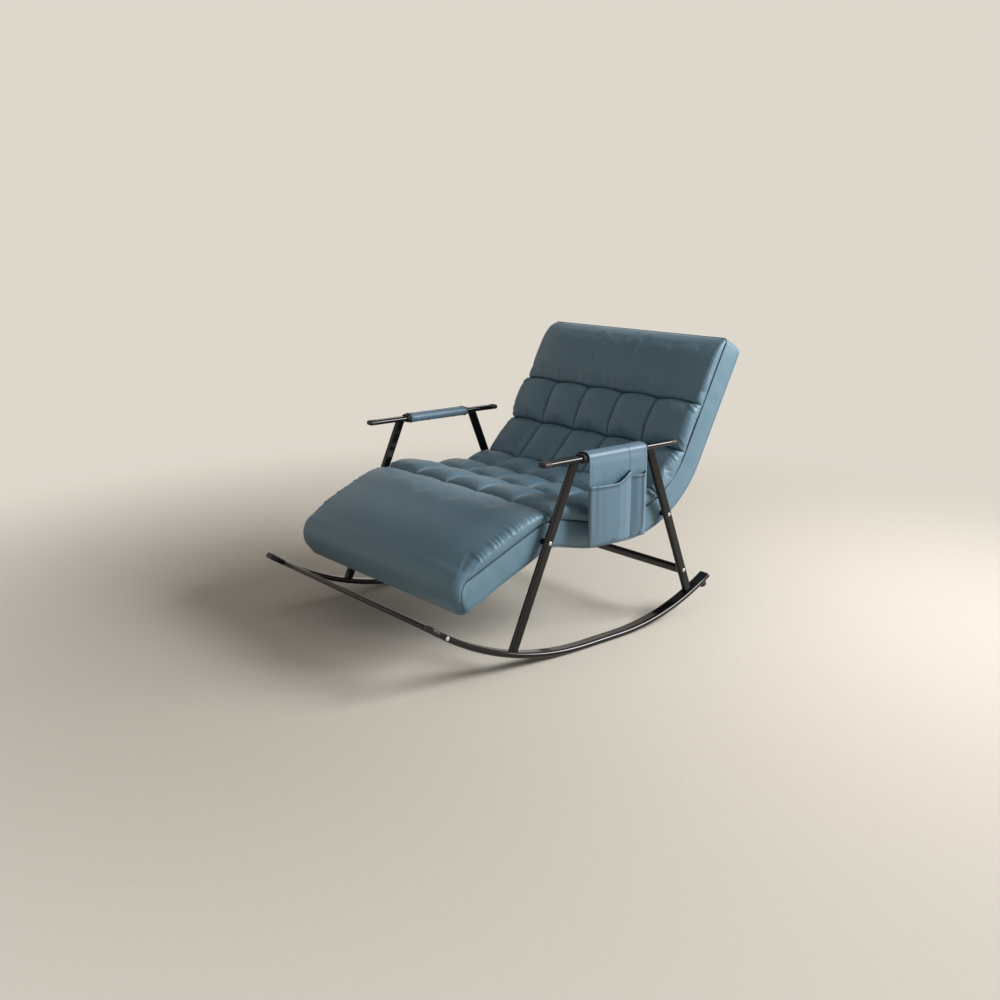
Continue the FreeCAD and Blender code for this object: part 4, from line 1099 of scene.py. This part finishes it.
class CHAIR_OT_arm_pads(bpy.types.Operator):
    """Slide foam tubes over both armrests and sew a leather sleeve round the right one"""
    bl_idname = "chair.arm_pads"
    bl_label = "Arm pads"

    FOAM_CLEARANCE, FOAM_ROUNDING, FOAM_END = 0.0001, 0.0022, 0.01
    HEM_END = 0.003
    CREASE, CREASE_TURNS = 0.0004, (190, 67)
    STITCH_PLACE, STITCH_HEIGHT = 0.6, 0.0008

    def execute(self, context):
        arms = context.scene.chair_arms
        for name, side in (("left", 1), ("right", -1)):
            self.foam(name, side, arms)
        self.sleeve(arms)
        self.stitches(arms, context.scene.chair_pocket)
        return {"FINISHED"}

    def foam(self, name, side, arms):
        """One foam tube with rounded ends."""
        rounded = [(self.FOAM_ROUNDING * (1 - math.sin(angle)),
                    arms.foam - self.FOAM_ROUNDING * (1 - math.cos(angle)))
                   for angle in np.linspace(0.0, math.pi / 2, 5)]
        front = [(arms.foam_front + inwards, thick) for inwards, thick in reversed(rounded)]
        rear = [(arms.foam_rear - inwards, thick) for inwards, thick in rounded]
        middle = np.linspace(arms.foam_front + self.FOAM_END, arms.foam_rear - self.FOAM_END, 40)
        profile = [(arms.foam_front, self.FOAM_CLEARANCE), *front, *[(y, arms.foam) for y in middle],
                   *rear, (arms.foam_rear, self.FOAM_CLEARANCE)]
        foam = tube(f"armrest_foam_{name}_tube", side * arms.side, arms, profile)
        dress(foam, "foam")
        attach(foam, "chair")
        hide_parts(f"armrest_foam_{name}")

    def sleeve(self, arms):
        """The right sleeve, slightly creased, with a turned-in hem at both ends."""
        hem, grown = arms.hem, arms.sleeve
        # Distance from the sleeve's end, and how thick the pad is there
        lip = [(0.0016, arms.foam + 0.0002), (0.0003, grown - 0.0005), (0.0, grown + 0.0003),
               (0.0008, grown + 0.0008), (0.003, grown + 0.0009), (hem - 0.001, grown + 0.0006),
               (hem, grown - 0.0002), (hem + 0.001, grown)]
        start, end = arms.sleeve_front + hem + self.HEM_END, arms.sleeve_rear - hem - self.HEM_END
        middle = np.linspace(start, end, 60)
        first, second = self.CREASE_TURNS
        profile = [(arms.sleeve_front + inwards, thick) for inwards, thick in lip]
        profile += [(y, grown + self.CREASE * math.sin(y * first) * math.sin(y * second + 1)) for y in middle]
        profile += [(arms.sleeve_rear - inwards, thick) for inwards, thick in reversed(lip)]
        sleeve = tube("armrest_sleeve_right_leather", -arms.side, arms, profile)
        dress(sleeve, "sleeve")
        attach(sleeve, "chair")
        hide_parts("armrest_sleeve_right")

    def stitches(self, arms, pocket):
        """A row of stitches round each hem of the right sleeve."""
        raised = arms.sleeve + self.STITCH_HEIGHT
        ring = oval_section(arms.width + 2 * raised, arms.height + 2 * raised, np.linspace(0.0, 1.0, 120))
        out = np.stack([ring[:, 0], np.zeros(len(ring)), ring[:, 1]], axis=1)
        inwards = self.STITCH_PLACE * arms.hem
        for end, y in (("front", arms.sleeve_front + inwards), ("rear", arms.sleeve_rear - inwards)):
            path = out + (-arms.side, y, arms.height_above_floor)
            stitch_row(f"sleeve_{end}_stitches", "chair", path, out, pocket)


def oval_section(width, height, share):
    """Points (x, z) at shares of the way round a flat oval, from the middle of its underside by way of -X."""
    radius = height / 2
    flat = width - height
    turn = np.linspace(0.0, math.pi, 25)
    inner = np.stack([-flat / 2 - radius * np.sin(turn), -radius * np.cos(turn)], axis=1)
    outer = np.stack([flat / 2 + radius * np.sin(turn), radius * np.cos(turn)], axis=1)
    outline = np.concatenate([[(0.0, -radius)], inner, outer, [(0.0, -radius)]])
    travelled = np.concatenate([[0.0], np.cumsum(np.linalg.norm(np.diff(outline, axis=0), axis=1))])
    wanted = np.asarray(share) * travelled[-1]
    return np.stack([np.interp(wanted, travelled, outline[:, i]) for i in (0, 1)], axis=-1)


def tube(name, x, arms, profile, count=56):
    """A closed tube round an armrest: a flat oval grown by a thickness at each Y of the profile."""
    share = np.linspace(0.0, 1.0, count, endpoint=False)
    rings = []
    for y, grown in profile:
        section = oval_section(arms.width + 2 * grown, arms.height + 2 * grown, share)
        ring = [x + section[:, 0], np.full(count, y), arms.height_above_floor + section[:, 1]]
        rings.append(np.stack(ring, axis=1))
    rings = np.array(rings)
    rows = len(rings)
    index = np.arange(rows * count).reshape(rows, count)
    beside = np.roll(index, -1, axis=1)
    faces = np.stack([index[:-1], beside[:-1], beside[1:], index[1:]], axis=-1).reshape(-1, 4).tolist()
    piece = made_object(name, rings, faces)
    turn_outwards(piece)
    return piece


def thickened(piece, thickness):
    """Give a sheet its thickness, away from the side that its faces look to."""
    solid = piece.modifiers.new("thickness", "SOLIDIFY")
    solid.thickness = thickness
    solid.offset = -1.0
    apply_modifiers(piece)


# Places along one stitch with its thickness there, and how deep its middle is pulled into the leather
STITCH_PROFILE = [(0.0, 0.25), (0.12, 0.8), (0.5, 1.0), (0.88, 0.8), (1.0, 0.25)]
STITCH_SUNK = 0.7


def stitch_row(name, body, path, outwards, settings):
    """A row of stitches: short rounded beads of thread along a line of points that look outwards."""
    path = np.asarray(path)
    outwards = np.broadcast_to(outwards, path.shape)
    travelled = np.concatenate([[0.0], np.cumsum(np.linalg.norm(np.diff(path, axis=0), axis=1))])
    pitch = settings.stitch + settings.gap
    starts = np.arange(settings.gap, travelled[-1] - settings.stitch, pitch)
    around = np.linspace(0.0, 2 * math.pi, 6, endpoint=False)
    points, faces = [], []
    for start in starts:
        ends = [np.array([np.interp(place, travelled, path[:, i]) for i in range(3)])
                for place in (start, start + settings.stitch)]
        along = (ends[1] - ends[0]) / np.linalg.norm(ends[1] - ends[0])
        out = np.array([np.interp(start, travelled, outwards[:, i]) for i in range(3)])
        rise = out - along * (out @ along)
        rise = rise / np.linalg.norm(rise)
        across = np.cross(along, rise)
        first = len(points)
        for share, thick in STITCH_PROFILE:
            middle = ends[0] + (ends[1] - ends[0]) * share + rise * settings.thread * (thick - STITCH_SUNK)
            for angle in around:
                spoke = across * math.cos(angle) + rise * math.sin(angle)
                points.append(middle + settings.thread * thick * spoke)
        count = len(around)
        for ring in range(len(STITCH_PROFILE) - 1):
            for i in range(count):
                near, far = first + ring * count, first + (ring + 1) * count
                faces.append([near + i, near + (i + 1) % count, far + (i + 1) % count, far + i])
        faces.append([first + i for i in reversed(range(count))])
        faces.append([first + (len(STITCH_PROFILE) - 1) * count + i for i in range(count)])
    piece = made_object(name, points, faces)
    turn_outwards(piece)
    dress(piece, "thread")
    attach(piece, body)
    return piece


class CHAIR_OT_side_pocket(bpy.types.Operator):
    """Fold a leather saddle over the left armrest and hang the pocket's two bags on it"""
    bl_idname = "chair.side_pocket"
    bl_label = "Side pocket"

    # Saddle: its start on the way round the armrest, how soon it hangs straight, its lips, seams and ripple
    AROUND_FROM = 0.03
    FALL_BEND, LIP_BEND = 0.02, 0.03
    FRONT_LIP, REAR_LIP, LIP_FADE = 0.0022, 0.0012, 0.010
    SEAM_WIDTH, HEM_WIDTH, HEM_SHARE, SEAM_DEPTH = 0.0022, 0.0014, 0.6, 0.0009
    HANG_RIPPLE = 0.0010
    HANG_WAVES = [0.11, 0.067]
    SADDLE_LEATHER = 0.75
    STITCH_PLACE, BESIDE_SEAM = 0.6, 0.004

    # Bags: outline seen from above, rise of the mouth, round foot, upright seam, hem, folds and belly
    SQUARENESS = 2 / 4.5
    RISE_FROM, RISE_LENGTH = 0.55, 0.45
    FOOT_RADIUS, FOOT_WIDTH, FOOT_SPREAD = 0.014, 0.985, 0.015
    BAG_SEAM_WIDTH, BAG_SEAM_DEPTH = 0.0028, 0.0016
    SEAM_CURVE, CURVE_FROM = 0.14, 0.30
    HEM_RISE, HEM_DEPTH, HEM_STEP = 0.0009, 0.008, 0.001
    HEM_GROOVE, HEM_LINE, GROOVE_WIDTH, SEWN_WIDTH = 0.0007, 0.009, 0.0012, 0.0015
    FOLD = 0.0010
    FOLD_WAVES = [0.041, 0.027]
    BELLY, BELLY_SWELL, REAR_SLANT = 0.93, 0.07, 0.25
    BAG_LEATHER = 0.8
    STITCH_BELOW, STITCHED_FROM = 0.0045, 0.9

    def execute(self, context):
        arms = context.scene.chair_arms
        pocket = context.scene.chair_pocket
        self.saddle(arms, pocket)
        self.bag("pocket_main", pocket, pocket.front, pocket.main_rear, pocket.main_depth, pocket.main_mouth,
                 pocket.main_rise, seam_place=0.60, slant=0.55)
        self.bag("pocket_slim", pocket, pocket.slim_front, pocket.slim_rear, pocket.slim_depth,
                 pocket.slim_mouth, pocket.slim_rise, seam_place=0.62, slant=0.65)
        return {"FINISHED"}

    def saddle(self, arms, pocket):
        """The sheet that goes round the foam, over the top and down outside to the bags' lower edge."""
        grown = arms.sleeve
        wide, high = arms.width + 2 * grown, arms.height + 2 * grown
        flat, radius = wide - high, high / 2
        length = 2 * flat + 2 * math.pi * radius
        outermost = (1.5 * flat + 1.5 * math.pi * radius) / length
        around = oval_section(wide, high, np.linspace(self.AROUND_FROM, outermost, 48))
        fall = np.linspace(0.0, 1.0, 44)[1:]
        drop = arms.height_above_floor - pocket.bottom
        top_x, end_x = around[-1, 0], pocket.panel_x + pocket.leather - arms.side
        down_x = top_x + (end_x - top_x) * smooth_step(fall * drop / self.FALL_BEND)
        section = np.concatenate([around, np.stack([down_x, -fall * drop], axis=1)])
        y = np.linspace(pocket.front, pocket.rear, 72)[:, None]
        top_share = np.concatenate([np.ones(len(around)), 1 - smooth_step(fall * drop / self.LIP_BEND)])
        lip = (self.FRONT_LIP * np.exp(-(y - pocket.front) / self.LIP_FADE)
               + self.REAR_LIP * np.exp(-(pocket.rear - y) / self.LIP_FADE))
        spread = np.maximum(np.linalg.norm(section, axis=1), 0.001)
        between = (pocket.main_rear + pocket.slim_front) / 2
        seam = np.exp(-((y - between) / self.SEAM_WIDTH) ** 2)
        hem = np.maximum(np.exp(-((y - pocket.front - arms.hem) / self.HEM_WIDTH) ** 2),
                         np.exp(-((pocket.rear - y - arms.hem) / self.HEM_WIDTH) ** 2))
        sewn = np.maximum(seam, self.HEM_SHARE * hem)
        raised = lip * top_share - self.SEAM_DEPTH * sewn
        x = arms.side + section[:, 0] + raised * np.where(top_share > 0.5, section[:, 0] / spread, 1.0)
        z = arms.height_above_floor + section[:, 1] + raised * top_share * section[:, 1] / spread
        hang = np.concatenate([np.zeros(len(around)), smooth_step(fall * 3)])
        x = x + hang * self.HANG_RIPPLE * waves(y, self.HANG_WAVES, 4)
        points = np.stack([x, np.broadcast_to(y, x.shape), z], axis=-1)[:, ::-1]
        piece = made_object("pocket_saddle_leather", points, grid_faces(*points.shape[:2]))
        # Painted shade: the sewn attribute darkens the middle seam and, more faintly, the hems
        set_attribute(piece, "sewn", np.broadcast_to(sewn, x.shape).ravel())
        thickened(piece, pocket.leather * self.SADDLE_LEATHER)
        dress(piece, "sleeve")
        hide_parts("armrest_sleeve_left", "pocket_back_panel")
        out = np.stack([around[:, 0], np.zeros(len(around)), around[:, 1]], axis=1)
        inwards = self.STITCH_PLACE * arms.hem
        for end, place in (("front", pocket.front + inwards), ("rear", pocket.rear - inwards),
                           ("middle", between + self.BESIDE_SEAM)):
            nearest = np.argmin(np.abs(y[:, 0] - place))
            ring_x, ring_z = x[nearest, :len(around)], z[nearest, :len(around)]
            path = np.stack([ring_x, np.full(len(around), place), ring_z], axis=1)
            stitch_row(f"saddle_{end}_stitches", "chair", path, out, pocket)
        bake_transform(piece)

    def bag(self, name, pocket, front, rear, depth, mouth, rise, seam_place, slant):
        """An open bag that bulges from the panel, round at its bottom, with a hem and one upright seam."""
        middle, half = (front + rear) / 2, (rear - front) / 2
        turn = np.linspace(0.0, math.pi, 73)
        side = np.sign(np.cos(turn)) * np.abs(np.cos(turn)) ** self.SQUARENESS
        out = np.abs(np.sin(turn)) ** self.SQUARENESS
        y = middle - half * side
        place = (y - front) / (2 * half)
        top = mouth + rise * smooth_step((place - self.RISE_FROM) / self.RISE_LENGTH)
        share = np.linspace(0.0, 1.0, 56)[:, None]
        z = pocket.bottom + (top - pocket.bottom) * share
        below = top - z
        foot = np.clip((z - pocket.bottom) / self.FOOT_RADIUS, 0.0, 1.0)
        round_foot = np.sqrt(1 - (1 - foot) ** 2)
        curve = smooth_step((self.CURVE_FROM - share) / self.CURVE_FROM) ** 2
        seam_line = seam_place - self.SEAM_CURVE * curve
        seam = np.exp(-((place - seam_line) * 2 * half / self.BAG_SEAM_WIDTH) ** 2)
        hem = self.HEM_RISE * smooth_step((self.HEM_DEPTH - below) / self.HEM_STEP)
        hem = hem - self.HEM_GROOVE * np.exp(-((below - self.HEM_LINE) / self.GROOVE_WIDTH) ** 2)
        fold = self.FOLD * waves(y, self.FOLD_WAVES, 6) * smooth_step(share * 2)
        belly = depth * (self.BELLY + self.BELLY_SWELL * np.sin(math.pi * np.clip(share * 1.1, 0.0, 1.0)))
        belly = belly * (1 - slant * np.clip(1 - place / seam_place, 0.0, 1.0)
                         - self.REAR_SLANT * np.clip((place - seam_place) / (1 - seam_place), 0.0, 1.0) ** 2)
        stands_out = belly * round_foot + hem + fold - self.BAG_SEAM_DEPTH * seam * round_foot
        x = pocket.panel_x + pocket.leather + out * stands_out
        y = middle - half * side * (self.FOOT_WIDTH + self.FOOT_SPREAD * round_foot)
        points = np.stack(np.broadcast_arrays(x, y, z), axis=-1)
        piece = made_object(f"{name}_bag", points, grid_faces(*points.shape[:2]))
        # Painted shade: the sewn attribute darkens the upright seam and the hem's stitched line
        sewn = np.maximum(seam, np.exp(-((below - self.HEM_LINE) / self.SEWN_WIDTH) ** 2))
        set_attribute(piece, "sewn", sewn.ravel())
        thickened(piece, pocket.leather * self.BAG_LEATHER)
        dress(piece, "sleeve")
        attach(piece, "side_pocket")
        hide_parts(name)
        row = []
        for i in np.flatnonzero(out > self.STITCHED_FROM):
            stitched = top[i] - self.STITCH_BELOW
            row.append([np.interp(stitched, z[:, i], points[:, i, axis]) for axis in range(3)])
        stitch_row(f"{name}_stitches", "side_pocket", row, (1.0, 0.0, 0.0), pocket)


# Studio and frame

class CHAIR_OT_stage(bpy.types.Operator):
    """Set the studio: a pale bowl of a floor, soft lights and the camera"""
    bl_idname = "chair.stage"
    bl_label = "Studio"

    # Radius of the level floor, radius of its bend and height of the backdrop above that
    FLAT, BEND, TALL = 4.0, 2.0, 2.5
    LEVEL_RINGS = [0.05, 2.0]

    # Name, place, aim, width, height and power of each lamp
    LAMPS = [("window_softbox", (2.5, 2.3, 2.2), (0.0, 0.0, 0.35), 2.2, 1.5, 215.0),
             ("ceiling_softbox", (0.2, -0.3, 3.4), (0.0, 0.0, 0.3), 3.0, 3.0, 12.0),
             ("front_fill", (1.6, -3.2, 1.4), (0.0, 0.0, 0.4), 2.5, 2.0, 9.0)]
    AIR_COLOUR, AIR_STRENGTH = "#e9e6e1", 0.20
    SENSOR_WIDTH = 36.0

    def execute(self, context):
        self.floor(context.scene.chair_colours)
        self.lights(context.scene)
        self.camera(context.scene, context.scene.chair_stage)
        context.scene.view_settings.view_transform = "Standard"
        return {"FINISHED"}

    def floor(self, colours):
        """A round level floor that bends up into the backdrop."""
        flat, bend, tall = self.FLAT, self.BEND, self.TALL
        angles = np.linspace(0.0, math.pi / 2, 13)
        reach = np.concatenate([self.LEVEL_RINGS, flat + bend * np.sin(angles), [flat + bend]])
        rise = np.concatenate([[0.0, 0.0], bend - bend * np.cos(angles), [bend + tall]])
        around = np.linspace(0.0, 2 * math.pi, 97)
        points = np.stack([reach[:, None] * np.cos(around), reach[:, None] * np.sin(around),
                           rise[:, None] * np.ones_like(around)], axis=-1)
        rows, columns = points.shape[:2]
        faces = grid_faces(rows, columns)
        faces.append(list(range(columns - 1)))
        floor = made_object("studio_floor", points, faces)
        ground = matt_floor("pale_studio_floor", colours.floor, colours.floor_mottle, colours.backdrop)
        floor.data.materials.append(ground)

    def lights(self, scene):
        """Soft lamps, and a weak even light from all round."""
        for name, place, aim, width, height, power in self.LAMPS:
            lamp = bpy.data.lights.new(name, "AREA")
            lamp.shape = "RECTANGLE"
            lamp.size = width
            lamp.size_y = height
            lamp.energy = power
            holder = bpy.data.objects.new(name, lamp)
            holder.location = place
            holder.rotation_mode = "QUATERNION"
            holder.rotation_quaternion = (Vector(aim) - Vector(place)).to_track_quat("-Z", "Y")
            scene.collection.objects.link(holder)
        world = bpy.data.worlds.new("studio_air")
        world.use_nodes = True
        world.node_tree.nodes["Background"].inputs["Color"].default_value = linear(self.AIR_COLOUR)
        world.node_tree.nodes["Background"].inputs["Strength"].default_value = self.AIR_STRENGTH
        scene.world = world

    def camera(self, scene, settings):
        """A camera that stands where the photograph was taken."""
        camera = bpy.data.cameras.new("photo_camera")
        camera.lens = settings.lens
        camera.sensor_width = self.SENSOR_WIDTH
        holder = bpy.data.objects.new("photo_camera", camera)
        level = math.cos(settings.elevation)
        back = Vector((math.sin(settings.azimuth) * level, -math.cos(settings.azimuth) * level,
                       math.sin(settings.elevation)))
        holder.location = settings.camera_place
        holder.rotation_mode = "QUATERNION"
        holder.rotation_quaternion = (-back).to_track_quat("-Z", "Y")
        scene.collection.objects.link(holder)
        scene.camera = holder


class CHAIR_OT_frame_finish(bpy.types.Operator):
    """Give the frame's tubes, caps, feet and bolts their finishes"""
    bl_idname = "chair.frame_finish"
    bl_label = "Frame finishes"

    SLOT_FINISHES = {"frame_steel": "enamel", "inner_steel": "inner", "bolt_steel": "bolt",
                     "black_plastic": "plastic", "black_rubber": "rubber", "black_foam": "foam",
                     "sleeve_leather": "sleeve", "cover_leather": "cover", "padded_cover": "cover",
                     "seat_foam": "seat_foam", "webbing": "webbing"}

    def execute(self, context):
        slots = {part["node"]: part["material_slot"] for part in frame["record"]["subparts"]}
        for name, piece in frame["nodes"].items():
            dress(piece, self.SLOT_FINISHES[slots[name]])
        return {"FINISHED"}


class CHAIR_PT_panel(bpy.types.Panel):
    """Lists the steps that dress the chair"""
    bl_label = "Rocking chair"
    bl_space_type = "VIEW_3D"
    bl_region_type = "UI"
    bl_category = "Rocking chair"

    def draw(self, context):
        for step in STEPS:
            self.layout.operator(step.bl_idname)


# Steps in the order in which they run, and the settings they read

STEPS = (CHAIR_OT_frame_finish, CHAIR_OT_foam_slab, CHAIR_OT_cushion, CHAIR_OT_side_bands,
         CHAIR_OT_under_cover, CHAIR_OT_arm_pads, CHAIR_OT_side_pocket, CHAIR_OT_stage)
SETTINGS = {"chair_colours": ChairColours, "chair_cushion": CushionSettings, "chair_swell": SwellSettings,
            "chair_arms": ArmSettings, "chair_pocket": PocketSettings, "chair_stage": StageSettings}


def register():
    for name, kind in SETTINGS.items():
        bpy.utils.register_class(kind)
        setattr(bpy.types.Scene, name, PointerProperty(type=kind))
    for kind in (*STEPS, CHAIR_PT_panel):
        bpy.utils.register_class(kind)


def unregister():
    for kind in (*STEPS, CHAIR_PT_panel):
        bpy.utils.unregister_class(kind)
    for name, kind in SETTINGS.items():
        delattr(bpy.types.Scene, name)
        bpy.utils.unregister_class(kind)


def main():
    register()
    for step in STEPS:
        group, name = step.bl_idname.split(".")
        getattr(getattr(bpy.ops, group), name)()


if __name__ == "__main__":
    main()
